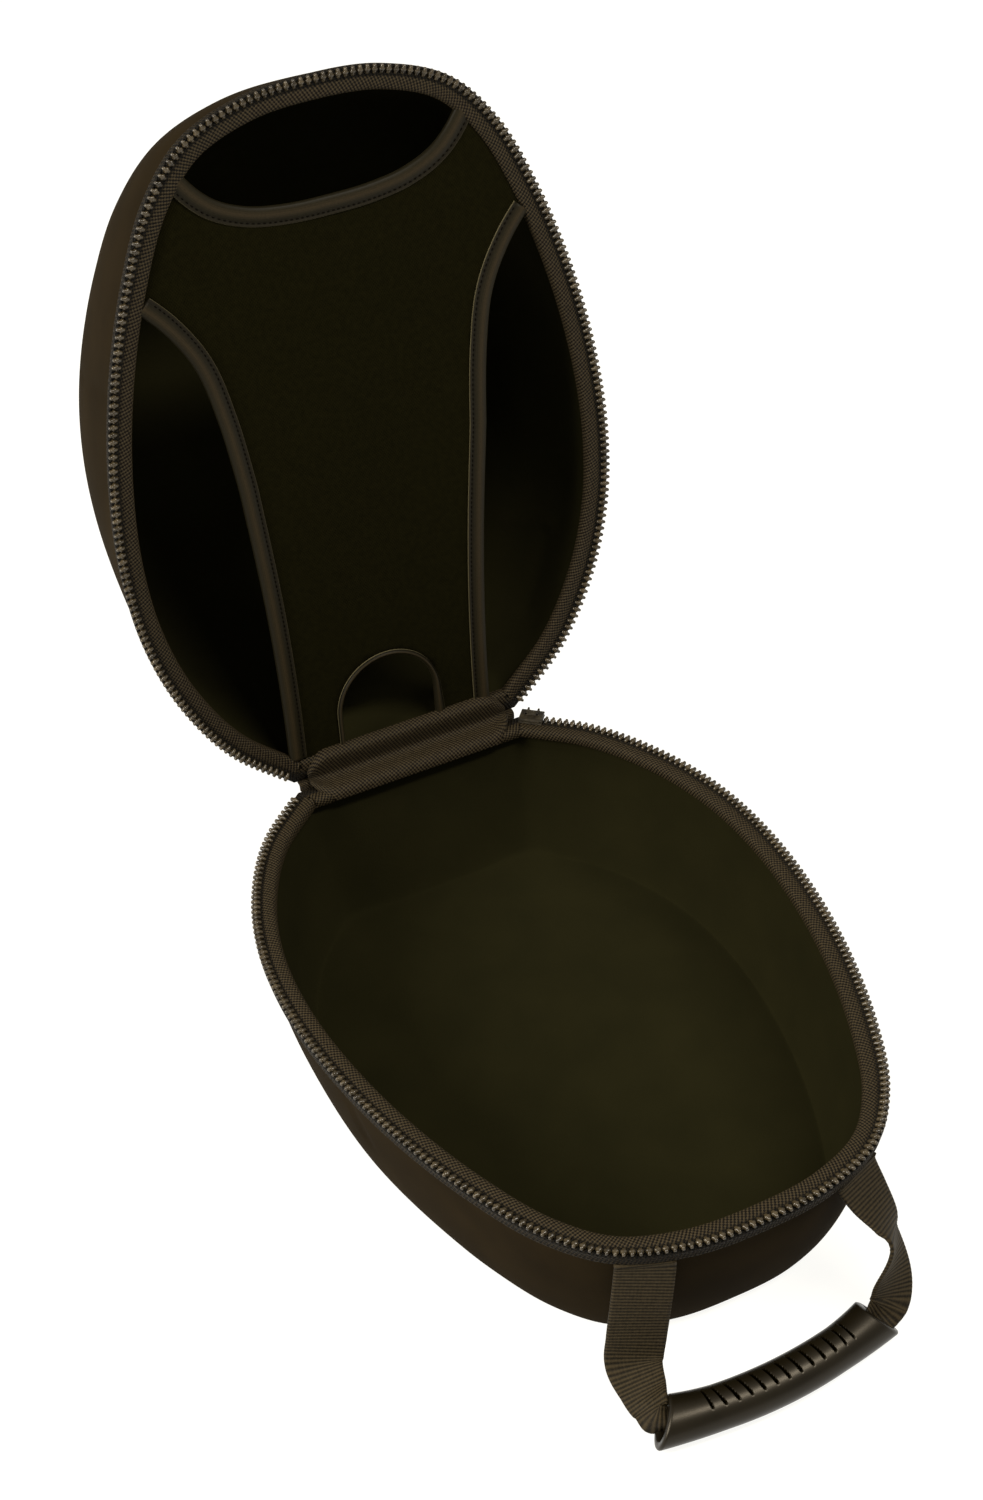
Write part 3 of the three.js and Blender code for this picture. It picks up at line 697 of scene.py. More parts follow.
def repeated(mesh, matrices):
    """Sets copies of the mesh at all the places, and takes the pattern away."""
    pattern = [*mesh.verts, *mesh.edges, *mesh.faces]
    pattern_verts = list(mesh.verts)
    for matrix in matrices:
        copied(mesh, pattern, matrix)
    bmesh.ops.delete(mesh, geom=pattern_verts, context="VERTS")


def close_ends(mesh, ring):
    """Fills the last ring and the open first ring with a face each."""
    start = [e for e in mesh.edges if e.is_boundary and e not in ring]
    bmesh.ops.contextual_create(mesh, geom=ring)
    bmesh.ops.contextual_create(mesh, geom=start)


for half in (base, lid):
    mesh, ring = drawn_skin([tooth_ring(*row) for row in tooth_stations])
    close_ends(mesh, ring)
    first_tooth = chain_start[half["body"]]
    count = int((chain_end - first_tooth) / tooth_pitch)
    repeated(mesh, [half["frame"] @ in_chain(first_tooth + i * tooth_pitch) for i in range(count)])
    teeth = new_piece(half["body"] + "_teeth", mesh, acetal)
    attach(teeth, half["body"])
    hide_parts(half["body"] + "_zip_teeth")

# Zip slider: painted zinc, parked at the right end of the chain. Two plates on one post close
# the teeth between their turned edges, and a bail on top carries a flat pull that hangs outside.
# It is drawn 3.5 mm high, not the real 5, because the lid's chain passes over it when closed.
slider_length = 12
slider_width = 8.6
slider_top = 3.5
slider_overhang = 2.2
slider_at = 7.5
lip = 1.0
bail_wall = 0.6
bail_at = 3.2
pull_width = 7
pull_thickness = 1.6
# Painted satin: dark brown with paler rubbed patches, under a fine orange-peel skin.
zinc, tree, shader, at = new_finish("painted_zinc")
rub = add_node(tree, "ShaderNodeTexNoise", {"Vector": at.outputs["Object"], "Scale": 300.0, "Detail": 4.0})
tone = add_node(tree, "ShaderNodeValToRGB", {"Fac": rub.outputs["Fac"]})
tone.color_ramp.elements[0].position = 0.35
tone.color_ramp.elements[0].color = linear("#17130b")
tone.color_ramp.elements[1].position = 0.8
tone.color_ramp.elements[1].color = linear("#3a3324")
feed(tree, shader, "Base Color", tone.outputs["Color"])
rub_wear_and_fold_light = add_node(tree, "ShaderNodeMapRange", {"Value": rub.outputs["Fac"], "To Min": 0.3, "To Max": 0.5})
feed(tree, shader, "Roughness", rub_wear_and_fold_light.outputs["Result"])
orange_peel = add_node(
    tree, "ShaderNodeBump", {"Height": rub.outputs["Fac"], "Strength": 0.15, "Distance": 0.06 * mm},
)
feed(tree, shader, "Normal", orange_peel.outputs["Normal"])


def block(mesh, low, high, edge):
    """Adds a box between two corners, with its edges rounded."""
    made = bmesh.ops.create_cube(mesh, size=1)["verts"]
    size = Vector(high) - Vector(low)
    middle = (Vector(high) + Vector(low)) / 2
    bmesh.ops.transform(
        mesh, verts=made, matrix=Matrix.Translation(middle) @ Matrix.Diagonal((*size, 1))
    )
    edges = list({e for v in made for e in v.link_edges})
    bmesh.ops.bevel(
        mesh, geom=edges, offset=edge, offset_type="OFFSET", affect="EDGES", segments=2,
        profile=0.5, material=-1,
    )


out_low = slider_overhang - slider_width
out_mid = slider_overhang - slider_width / 2
along_half = slider_length / 2
mesh = bmesh.new()
bail_low, bail_high = out_mid - bail_wall, out_mid + bail_wall
# the two plates
for low, high in ((0.2, 1.1), (2.1, 3.0)):
    block(mesh, (out_low, -along_half, low), (slider_overhang, along_half, high), 0.4)
# their turned edges
for out in (out_low, slider_overhang - lip):
    for low, high in ((0.9, 1.4), (1.8, 2.3)):
        block(mesh, (out, -along_half + 1, low), (out + lip, along_half - 1, high), 0.15)
# the post between the plates, then the bail's two feet and its bar
block(mesh, (out_mid - 0.9, 1.2, 0.8), (out_mid + 0.9, along_half - 0.8, 2.4), 0.3)
for side in (-1, 1):
    foot_low, foot_high = side * bail_at - bail_wall, side * bail_at + bail_wall
    block(mesh, (bail_low, foot_low, 2.8), (bail_high, foot_high, slider_top), 0.15)
block(mesh, (bail_low, -3.6, 3.15), (bail_high, 3.6, slider_top), 0.15)
bmesh.ops.transform(mesh, verts=mesh.verts, matrix=base_frame @ in_chain(slider_at))
slider = new_piece("slider_body", mesh, zinc, smooth=False)
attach(slider, "base")
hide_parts("zip_slider")

# the pull: a link over the bail, then a flat tab with a raised edge and three gripping ribs
pull_low = -24.8
tab_length = 22
link_at = 2.6
link_wall = 0.5
rib_count = 3
rib_step = 2.6
rib_half = 2.4
pull_out = slider_overhang + 0.15
pull_front = pull_out + pull_thickness
mesh = bmesh.new()
for side in (-1, 1):
    low, high = side * link_at - link_wall, side * link_at + link_wall
    block(mesh, (out_mid - 0.4, low, 3.1), (pull_out + 0.8, high, slider_top), 0.15)
    block(mesh, (pull_out, low, pull_low + tab_length - 1), (pull_out + 1.0, high, slider_top), 0.2)
block(
    mesh, (pull_out + 0.1, -pull_width / 2, pull_low),
    (pull_out + 1.2, pull_width / 2, pull_low + tab_length), 0.5,
)
for side in (-1, 1):
    edge = side * (pull_width / 2 - 0.45)
    edge_top = pull_low + tab_length - 0.6
    block(mesh, (pull_out, edge - 0.4, pull_low + 0.8), (pull_front, edge + 0.4, edge_top), 0.2)
for i in range(rib_count):
    low = pull_low + 3 + rib_step * i
    block(mesh, (pull_out, -rib_half, low), (pull_front, rib_half, low + 1.0), 0.3)
bmesh.ops.transform(mesh, verts=mesh.verts, matrix=base_frame @ in_chain(slider_at))
pull = new_piece("slider_pull", mesh, zinc, smooth=False)
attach(pull, "base")

# Lid panel: a knit-faced sheet sewn to the lid's tape at its shoulders and along the hinge,
# with free, bound edges at its top and sides and an arch-shaped hole at its foot.
panel_lean = 7
panel_lean_reach = 160
panel_depth = 1.3
arch_half_width = 25.5
arch_height = 54
panel_foot = -4.5
side_edge_shape = [
    (0.43, -0.03), (0.432, 0.13), (0.45, 0.28), (0.485, 0.43), (0.53, 0.58), (0.58, 0.66),
    (0.67, 0.72), (0.8, 0.775),
]
top_edge_shape = [(0, 0.84), (0.16, 0.842), (0.3, 0.851), (0.42, 0.872), (0.51, 0.908), (0.57, 0.955)]


def leaned(points):
    """Points near the hinge lie further left, because the panel is sewn in a little askew."""
    return [
        Vector((p.x - panel_lean * max(0, 1 + p.y / panel_lean_reach), p.y)) for p in points
    ]


def edge_track(points):
    return Track(leaned(smooth_line(points, 30)))


side_points = [rim_point(*row) for row in side_edge_shape]
top_points = [rim_point(*row) for row in top_edge_shape]
arch_rise = arch_height - arch_half_width
arch_points = [Vector((arch_half_width, 4))] + [
    Vector((arch_half_width * math.cos(a), -arch_rise - arch_half_width * math.sin(a)))
    for a in (math.pi * i / 40 for i in range(41))
] + [Vector((-arch_half_width, 4))]
right_edge = edge_track(side_points)
left_edge = edge_track(mirrored(side_points))
top_edge = Track(smooth_line([*mirrored(top_points)[::-1], *top_points[1:]], 30))
arch_edge = Track(leaned(arch_points))


def panel_outline():
    """Round the panel: up the right edge, over the top, down the left edge, round the arch."""
    rim = bowl_loop(lid, (panel_depth + 0.8) / lid_depth, 11.6)
    right, top, left, arch = (t.spread(90) for t in (right_edge, top_edge, left_edge, arch_edge))

    def rim_between(a, b):
        """The rim's own points from near a to near b, the short way in their order."""
        start = min(range(len(rim)), key=lambda i: (rim[i] - a).length)
        end = min(range(len(rim)), key=lambda i: (rim[i] - b).length)
        return rim[start:end + 1] if start <= end else rim[end:start + 1][::-1]

    around = [
        *right, *rim_between(right[-1], top[-1]), *top[::-1],
        *rim_between(top[0], left[-1]), *left[::-1], *arch[::-1],
    ]
    return [Vector((p.x, min(p.y, panel_foot))) for p in around]


def inside(outline, p):
    """Whether a point lies inside the outline, by counting the edges to its right."""
    found = False
    for a, b in zip(outline, outline[1:] + outline[:1]):
        if (a.y > p.y) != (b.y > p.y) and p.x < a.x + (b.x - a.x) * (p.y - a.y) / (b.y - a.y):
            found = not found
    return found


def nearest(outline, p):
    best, at_best = 1e9, p
    for a, b in zip(outline, outline[1:] + outline[:1]):
        d = b - a
        share = max(0, min(1, (p - a).dot(d) / max(d.length_squared, 1e-9)))
        q = a + d * share
        if (q - p).length_squared < best:
            best, at_best = (q - p).length_squared, q
    return at_best


# Brushed knit: matt and near black, its rows of loops only just showing through the nap.
knit, tree, shader, at = new_finish("brushed_warp_knit")
wale_pitch = 1.3
course_pitch = 1.8
cloth_at = add_node(tree, "ShaderNodeSeparateXYZ", {"Vector": at.outputs["UV"]})
wale = add_node(
    tree, "ShaderNodeMath", {0: cloth_at.outputs["X"], 1: math.tau / wale_pitch}, operation="MULTIPLY",
)
wale_wave = add_node(tree, "ShaderNodeMath", {0: wale.outputs[0]}, operation="SINE")
course = add_node(
    tree, "ShaderNodeMath", {0: cloth_at.outputs["Y"], 1: math.tau / course_pitch}, operation="MULTIPLY",
)
course_wave = add_node(tree, "ShaderNodeMath", {0: course.outputs[0]}, operation="SINE")
loops = add_node(
    tree, "ShaderNodeMath", {0: wale_wave.outputs[0], 1: course_wave.outputs[0]}, operation="MULTIPLY",
)
brushing = add_node(
    tree, "ShaderNodeTexNoise", {"Vector": at.outputs["Object"], "Scale": 420.0, "Detail": 4.0},
)
pile = add_node(
    tree, "ShaderNodeMath", {0: brushing.outputs["Fac"], 1: 3.0, 2: loops.outputs[0]},
    operation="MULTIPLY_ADD",
)
height = add_node(tree, "ShaderNodeMapRange", {"Value": pile.outputs[0], "From Min": 0.2, "From Max": 2.8})
tone = add_node(tree, "ShaderNodeValToRGB", {"Fac": height.outputs["Result"]})
tone.color_ramp.elements[0].color = linear("#090801")
tone.color_ramp.elements[1].color = linear("#131104")
feed(tree, shader, "Base Color", tone.outputs["Color"])
shader.inputs["Roughness"].default_value = 0.95
shader.inputs["IOR"].default_value = 1.1
shader.inputs["Sheen Weight"].default_value = 0.01
shader.inputs["Sheen Tint"].default_value = linear("#7d7548")
nap = add_node(
    tree, "ShaderNodeBump", {"Height": height.outputs["Result"], "Strength": 0.35, "Distance": 0.25 * mm},
)
feed(tree, shader, "Normal", nap.outputs["Normal"])

# the cloth is cut from a grid of cells about 2.5 mm wide that reaches past the whole rim
panel_columns = 104
panel_rows = 140
grid_half = (130, 182.5)
grid_middle = -172.5
panel_wall = 1.6
outline = panel_outline()
mesh = bmesh.new()
bmesh.ops.create_grid(mesh, x_segments=panel_columns, y_segments=panel_rows, size=1)
bmesh.ops.transform(
    mesh, verts=mesh.verts,
    matrix=Matrix.Translation((0, grid_middle, 0)) @ Matrix.Diagonal((*grid_half, 1, 1)),
)
outside = [v for v in mesh.verts if not inside(outline, v.co.xy)]
bmesh.ops.delete(mesh, geom=outside, context="VERTS")
stray = [v for v in mesh.verts if len(v.link_faces) == 0]
bmesh.ops.delete(mesh, geom=stray, context="VERTS")
for v in [v for v in mesh.verts if v.is_boundary]:
    v.co.xy = nearest(outline, v.co.xy)
run, down = mesh.verts.layers.float.new("run"), mesh.verts.layers.float.new("down")
panel_area = sum(f.calc_area() for f in mesh.faces) * mm * mm
for v in mesh.verts:
    v[run], v[down] = v.co.x, v.co.y
    slack = noise.noise(Vector((v.co.x / 70, v.co.y / 90, 4.2)))
    v.co.z = -panel_depth - 0.85 + 0.9 * slack
bmesh.ops.transform(mesh, verts=mesh.verts, matrix=lid_frame)
lay_cloth(mesh)
panel = new_piece("lid_panel_knit", mesh, knit)
thicken(panel, panel_wall, 0)
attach(panel, "lid")
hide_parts("lid_panel")

# Bindings: satin-woven tape folded over each free edge of the panel and sewn through, with
# one row of dark stitches beside its inner fold, which stands up as a thin line under a painted highlight.
# distance from the free edge towards the panel, height above the panel's face
binding_section = [
    (-0.75, -1.0), (-0.85, -0.2), (-0.5, 0.6), (0.3, 1.15), (1.6, 1.5), (2.8, 1.55), (4.2, 1.3),
    (5.2, 1.0), (5.8, 0.72), (6.3, 0.6), (6.75, 0.66), (7.1, 0.78), (7.35, 0.92), (7.65, 0.95),
    (7.95, 0.8), (8.05, 0.4), (8.0, 0.05), (6.0, -0.2), (6.0, -1.6), (7.8, -1.8), (7.9, -2.2),
    (6.0, -2.5), (1.0, -2.5), (-0.3, -2.2),
]
# Satin woven: a soft shine and a painted highlight on the crown of the fold, beside a groove in painted shade
# and a piping with a painted highlight.
satin, tree, shader, at = new_finish("satin_polyester_binding")
warp_pitch = 0.9
fold_width = 12
cloth_at = add_node(tree, "ShaderNodeSeparateXYZ", {"Vector": at.outputs["UV"]})
thread = add_node(tree, "ShaderNodeTexNoise", {"Vector": at.outputs["UV"], "Scale": 1.1, "Detail": 3.0})
warp = add_node(
    tree, "ShaderNodeMath", {0: cloth_at.outputs["X"], 1: math.tau / warp_pitch}, operation="MULTIPLY",
)
warp_wave = add_node(tree, "ShaderNodeMath", {0: warp.outputs[0]}, operation="SINE")
weave = add_node(
    tree, "ShaderNodeMath", {0: warp_wave.outputs[0], 1: 0.12, 2: thread.outputs["Fac"]},
    operation="MULTIPLY_ADD",
)
tone = add_node(tree, "ShaderNodeValToRGB", {"Fac": weave.outputs[0]})
tone.color_ramp.elements[0].position = 0.25
tone.color_ramp.elements[0].color = linear("#d2d2d2")
tone.color_ramp.elements[1].position = 0.75
# painted light across the folded tape: its crown and its piping carry painted highlights, and its groove
# carries painted shade
across_fold = add_node(
    tree, "ShaderNodeMath", {0: cloth_at.outputs["X"], 1: 1 / fold_width}, operation="MULTIPLY",
)
rub_wear_and_fold_light = add_node(tree, "ShaderNodeValToRGB", {"Fac": across_fold.outputs[0]})
rub_wear_and_fold_light.color_ramp.elements[0].position = 0.14
rub_wear_and_fold_light.color_ramp.elements[0].color = linear("#19160c")
rub_wear_and_fold_light.color_ramp.elements[1].position = 0.98
rub_wear_and_fold_light.color_ramp.elements[1].color = linear("#131009")
for place, hex_colour in (
    (0.25, "#1f1b10"), (0.42, "#2f2719"), (0.58, "#1f1b10"), (0.7, "#17140b"), (0.86, "#1d190f"),
    (0.92, "#5e573f"),
):
    rub_wear_and_fold_light.color_ramp.elements.new(place).color = linear(hex_colour)
satin_with_painted_light = add_node(
    tree, "ShaderNodeMix", {0: 1.0, 6: rub_wear_and_fold_light.outputs["Color"], 7: tone.outputs["Color"]},
    data_type="RGBA", blend_type="MULTIPLY",
)
feed(tree, shader, "Base Color", satin_with_painted_light.outputs[2])
shader.inputs["Roughness"].default_value = 0.48
shader.inputs["IOR"].default_value = 1.17
shader.inputs["Sheen Weight"].default_value = 0.02
shader.inputs["Sheen Tint"].default_value = linear("#a79f70")
satin_grain = add_node(
    tree, "ShaderNodeBump", {"Height": weave.outputs[0], "Strength": 0.3, "Distance": 0.12 * mm},
)
feed(tree, shader, "Normal", satin_grain.outputs["Normal"])

# Twisted: dull and nearly black, so that the stitches show as dark ticks.
sewing_thread, tree, shader, at = new_finish("twisted_polyester_thread")
ply = add_node(tree, "ShaderNodeTexNoise", {"Vector": at.outputs["Object"], "Scale": 2500.0, "Detail": 1.0})
tone = add_node(tree, "ShaderNodeValToRGB", {"Fac": ply.outputs["Fac"]})
tone.color_ramp.elements[0].color = linear("#030201")
tone.color_ramp.elements[1].color = linear("#0b0905")
feed(tree, shader, "Base Color", tone.outputs["Color"])
shader.inputs["Roughness"].default_value = 0.9
shader.inputs["IOR"].default_value = 1.1
twist = add_node(
    tree, "ShaderNodeBump", {"Height": ply.outputs["Fac"], "Strength": 0.3, "Distance": 0.05 * mm},
)
feed(tree, shader, "Normal", twist.outputs["Normal"])

stitch_pitch = 2.4
stitch_length = 1.7
stitch_thickness = 0.55
stitch_place = 6.35
stitch_height = 0.68
binding_step = 1.5
edge_samples = 600
stitches = bmesh.new()
bmesh.ops.create_icosphere(stitches, subdivisions=1, radius=0.5)
stitch_places = []
covered_by_tape = inset_loop(9.5)


def bind(name, node, track, towards, wide=lambda share: 1):
    """Folds a binding over a free edge, to where both its ends lie under the tape. towards is
    +1 where the panel lies to the left of the edge's direction, and wide is the share of its
    full width at each share of its length."""
    free = [
        d for d in (track.length * i / edge_samples for i in range(edge_samples + 1))
        if inside(covered_by_tape, track.at(d)[0])
    ]
    steps = int((free[-1] - free[0]) / binding_step)
    rings, downs = [], []
    for i in range(steps + 1):
        distance = free[0] + (free[-1] - free[0]) * i / steps
        p, along = track.at(min(distance, track.length - 1e-6))
        side = Vector((-along.y, along.x)) * towards
        w = wide(distance / track.length)
        rings.append([
            lid_frame @ Vector((*(p + side * (v * w if v > 0 else v)), h - panel_depth - 0.05))
            for v, h in binding_section
        ])
        downs.append(distance)
    mesh, ring = drawn_skin(rings, True, across_lengths(binding_section), downs)
    close_ends(mesh, ring)
    lay_cloth(mesh, across_lengths(binding_section)[-1])
    binding = new_piece(name, mesh, satin)
    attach(binding, "lid")
    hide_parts(node)
    for i in range(1, int((free[-1] - free[0]) / stitch_pitch)):
        distance = free[0] + i * stitch_pitch
        p, along = track.at(distance)
        w = wide(distance / track.length)
        if w < 0.6:
            continue
        side = Vector((-along.y, along.x)) * towards
        p = p + side * stitch_place * w
        stitch_places.append(lid_frame @ Matrix((
            (along.x * stitch_length, side.x * stitch_thickness, 0, p.x),
            (along.y * stitch_length, side.y * stitch_thickness, 0, p.y),
            (0, 0, stitch_thickness, stitch_height - panel_depth),
            (0, 0, 0, 1),
        )))


def arch_width(share):
    """The arch's binding is narrow, and widens down its right leg, where it isn't pulled round."""
    return 0.24 + 0.5 * max(0, 1 - share / 0.28)


bind("binding_top", "panel_binding_top", top_edge, 1)
bind("binding_right", "panel_binding_right", right_edge, -1)
bind("binding_left", "panel_binding_left", left_edge, 1)
bind("binding_arch", "panel_binding_arch", arch_edge, 1, arch_width)
repeated(stitches, stitch_places)
stitch_rows = new_piece("binding_stitches", stitches, sewing_thread)
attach(stitch_rows, "lid")

# Cloth hinge: two strips of the same woven tape, one inside and one outside, sewn to both
# halves along the straight back edge. They bend with the lid.
# place in the bag's own x-section through the hinge: y and z, in millimetres
inner_hinge_line = [
    (157.6, 68.6), (158.3, 71.6), (160.2, 73.3), (163.5, 73.7), (167.0, 73.4), (169.9, 73.7),
    (171.4, 75.0), (171.6, 77.4), (171.1, 80.6), (170.9, 83.6), (171.4, 85.6), (173.2, 86.8),
    (176.0, 87.3),
]
outer_hinge_line = [
    (169.2, 57.5), (169.4, 61.0), (169.5, 66.0), (169.8, 70.0), (170.9, 72.6), (173.4, 73.9),
    (177.5, 74.6), (182.5, 75.3), (187.5, 75.9),
]


strip_rows = 46
strip_columns = 110
# the strips' cloth lengths start past the tape's painted shade, so the strips keep the full colour of the
# roll
past_tape_shade = 12


def hinge_strip(name, node, line, width, thickness, end, tuck):
    """A strip across the hinge, with its ends drawn down to the tuck between the rims."""
    track = Track(smooth_line([Vector(p) for p in line], 12))
    rows = track.spread(strip_rows)
    xs = [width * (i / strip_columns - 0.5) for i in range(strip_columns + 1)]
    tuck = Vector(tuck)
    pulls = [0.8 * max(0, 1 - (width / 2 - abs(x)) / end) ** 2 for x in xs]
    rings = []
    for p in rows:
        places = [p.lerp(tuck, pull) for pull in pulls]
        rings.append([Vector((x, q.x, q.y)) * mm for x, q in zip(xs, places)])
    downs = [past_tape_shade + track.length * i / strip_rows for i in range(strip_rows + 1)]
    mesh, ring = drawn_skin(rings, False, xs, downs)
    lay_cloth(mesh)
    strip = new_piece(name, mesh, woven_tape)
    thicken(strip, thickness, 0)
    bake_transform(strip, "base", "lid", (0, 169.0 * mm, 71.0 * mm), (0, 173.0 * mm, 78.0 * mm))
    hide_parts(node)


hinge_strip(
    "hinge_inside", "lid_hinge_leaf", inner_hinge_line, hinge_width - 14, 0.8, 11, (171.5, 76.5),
)
hinge_strip(
    "hinge_outside", "base_hinge_leaf", outer_hinge_line, hinge_width - 4, 0.9, 18, (171.8, 74.0),
)

# Carrying handle: 25 mm ribbed webbing, sewn under the front of the base at both ends, runs
# gathered through a moulded grip that lies on the table in front of the bag.
webbing_width = 25
webbing_thickness = 1.8
strap_place = 52
seam_depth = 6.6
seam_gap = 0.5
grip_length = 104.5
grip_shift = -9.2
grip_slant = 2.7
grip_bow = 7
grip_reach = 22
grip_width = 19
grip_height = 18
grip_wall = 2.9
# slant of the cut at the left end and at the right end, backwards and upwards
grip_mitres = [(0.58, 0.44), (0.26, 0.76)]
grip_mitre_reach = 24
grip_axis_height = 0.2 + grip_height / 2
bundle_width = 9
bundle_thickness = 6.4
# share of the way down, of the way out, sideways bulge in widths, share of the turn,
# slope in degrees, share of the width, share gathered
left_run = [
    (0, 0, 0, 0, 0, 1, 0), (0.08, 0, -0.035, 0, 0, 1, 0), (0.37, 0.06, -0.05, 0, 0, 1, 0),
    (0.7, 0.11, -0.07, 0.02, 0, 1, 0), (0.91, 0.2, -0.05, 0, 2, 0.96, 0),
    (0.99, 0.5, -0.03, 0, 18, 0.8, 0.03), (0.99, 0.74, 0.02, 0, 38, 0.7, 0.08),
    (1.0, 0.93, 0.05, 0, 62, 0.62, 0.3),
]
right_run = [
    (0, 0, 0, 0, 0, 1, 0), (0.07, 0, 0.017, 0, 0, 1, 0), (0.19, 0.2, 0.13, 0.05, -8, 1, 0),
    (0.33, 0.5, 0.29, 0.15, -26, 1, 0), (0.46, 0.68, 0.34, 0.35, -39, 1, 0.03),
    (0.84, 0.9, 0.28, -0.5, -36, 0.8, 0.08), (0.93, 0.97, 0.19, -0.7, -34, 0.74, 0.2),
    (0.98, 1, 0.05, -0.82, -32, 0.62, 0.4),
]
# share of the grip's length, slope of the bundle in degrees
inside_run = [(0.07, 60), (0.28, 0), (0.5, -50), (0.72, -100), (0.93, -150)]
grip_y = hinge_y - rim_length - grip_reach


def grip_centre(share):
    across = 2 * share - 1
    return Vector((
        grip_shift + across * grip_length / 2,
        grip_y - grip_bow * (1 - across * across) + across * grip_slant / 2,
        grip_axis_height,
    ))


def strap_seam(sign):
    """The middle of a strap's sewn end, and the direction of the rim there."""
    place, along = rim_track.at(rim_track.length / 2 - sign * strap_place)
    outward = Vector((-along.y, along.x))
    left = (1 - (seam_depth / base_height) ** base["round"]) ** (1 / base["round"])
    p = place - outward * 3.0
    wall = Vector((
        p.x * (base["across"] + (1 - base["across"]) * left),
        -base["centre"] + (p.y + base["centre"]) * (base["along"] + (1 - base["along"]) * left),
    ))
    wall += outward * (seam_gap + webbing_thickness / 2)
    seam = Vector((wall.x, wall.y + hinge_y, base_height - seam_depth))
    return seam, math.atan2(-along.y, -along.x)


def facing(turn, tilt):
    return Vector((
        math.cos(tilt) * math.cos(turn), math.cos(tilt) * math.sin(turn), math.sin(tilt),
    ))


def run_stations(rows, sign):
    """Centre, direction across, and (width, thickness, gather) at each station of a run."""
    seam, turn_there = strap_seam(sign)
    mouth = grip_centre(0 if sign < 0 else 1)
    return [
        (
            Vector((
                seam.x + (mouth.x - seam.x) * drop + sign * bulge * webbing_width,
                seam.y + (mouth.y - seam.y) * reach,
                seam.z + (mouth.z - seam.z) * drop,
            )),
            facing(turn_there + (math.pi / 2 - turn_there) * turn, math.radians(tilt)),
            Vector((
                width * webbing_width,
                webbing_thickness + (bundle_thickness - webbing_thickness) * fold, fold,
            )),
        )
        for drop, reach, bulge, turn, tilt, width, fold in rows
    ]


stations = [
    *run_stations(left_run, -1),
    *((
        grip_centre(share), facing(math.pi / 2, math.radians(slope)),
        Vector((bundle_width, bundle_thickness, 1)),
    ) for share, slope in inside_run),
    *run_stations(right_run, 1)[::-1],
]


def even_curve(values, t):
    """A value on the smooth curve through evenly spaced ones (uniform Catmull-Rom)."""
    spans = len(values) - 1
    i = min(int(t * spans), spans - 1)
    w = t * spans - i
    p1, p2 = values[i], values[i + 1]
    p0 = values[i - 1] if i else 2 * p1 - p2
    p3 = values[i + 2] if i + 2 <= spans else 2 * p2 - p1
    t1, t2 = (p2 - p0) / 2, (p3 - p1) / 2
    return p1 + t1 * w + (3 * (p2 - p1) - 2 * t1 - t2) * w ** 2 + (2 * (p1 - p2) + t1 + t2) * w ** 3


# Ribbed woven: matt, with rows of picks that each catch a little light.
webbing, tree, shader, at = new_finish("ribbed_polyester_webbing")
pick_pitch = 1.65
end_pitch = 1.5
cloth_at = add_node(tree, "ShaderNodeSeparateXYZ", {"Vector": at.outputs["UV"]})
pick = add_node(
    tree, "ShaderNodeMath", {0: cloth_at.outputs["Y"], 1: math.tau / pick_pitch}, operation="MULTIPLY",
)
pick_wave = add_node(tree, "ShaderNodeMath", {0: pick.outputs[0]}, operation="COSINE")
end_lines = add_node(
    tree, "ShaderNodeMath", {0: cloth_at.outputs["X"], 1: math.tau / end_pitch}, operation="MULTIPLY",
)
end_wave = add_node(tree, "ShaderNodeMath", {0: end_lines.outputs[0]}, operation="SINE")
weave = add_node(
    tree, "ShaderNodeMath", {0: end_wave.outputs[0], 1: 0.16, 2: pick_wave.outputs[0]},
    operation="MULTIPLY_ADD",
)
yarn = add_node(tree, "ShaderNodeTexNoise", {"Vector": at.outputs["Object"], "Scale": 700.0, "Detail": 3.0})
relief = add_node(
    tree, "ShaderNodeMath", {0: yarn.outputs["Fac"], 1: 2.0, 2: weave.outputs[0]},
    operation="MULTIPLY_ADD",
)
height = add_node(tree, "ShaderNodeMapRange", {"Value": relief.outputs[0], "From Min": -0.3, "From Max": 2.4})
tone = add_node(tree, "ShaderNodeValToRGB", {"Fac": height.outputs["Result"]})
tone.color_ramp.elements[0].position = 0.1
tone.color_ramp.elements[0].color = linear("#120e06")
tone.color_ramp.elements[1].position = 0.9
tone.color_ramp.elements[1].color = linear("#342c1d")
feed(tree, shader, "Base Color", tone.outputs["Color"])
shader.inputs["Roughness"].default_value = 0.65
shader.inputs["IOR"].default_value = 1.2
shader.inputs["Sheen Weight"].default_value = 0.01
shader.inputs["Sheen Tint"].default_value = linear("#b9a070")
ribbed = add_node(
    tree, "ShaderNodeBump", {"Height": height.outputs["Result"], "Strength": 0.4, "Distance": 0.25 * mm},
)
feed(tree, shader, "Normal", ribbed.outputs["Normal"])

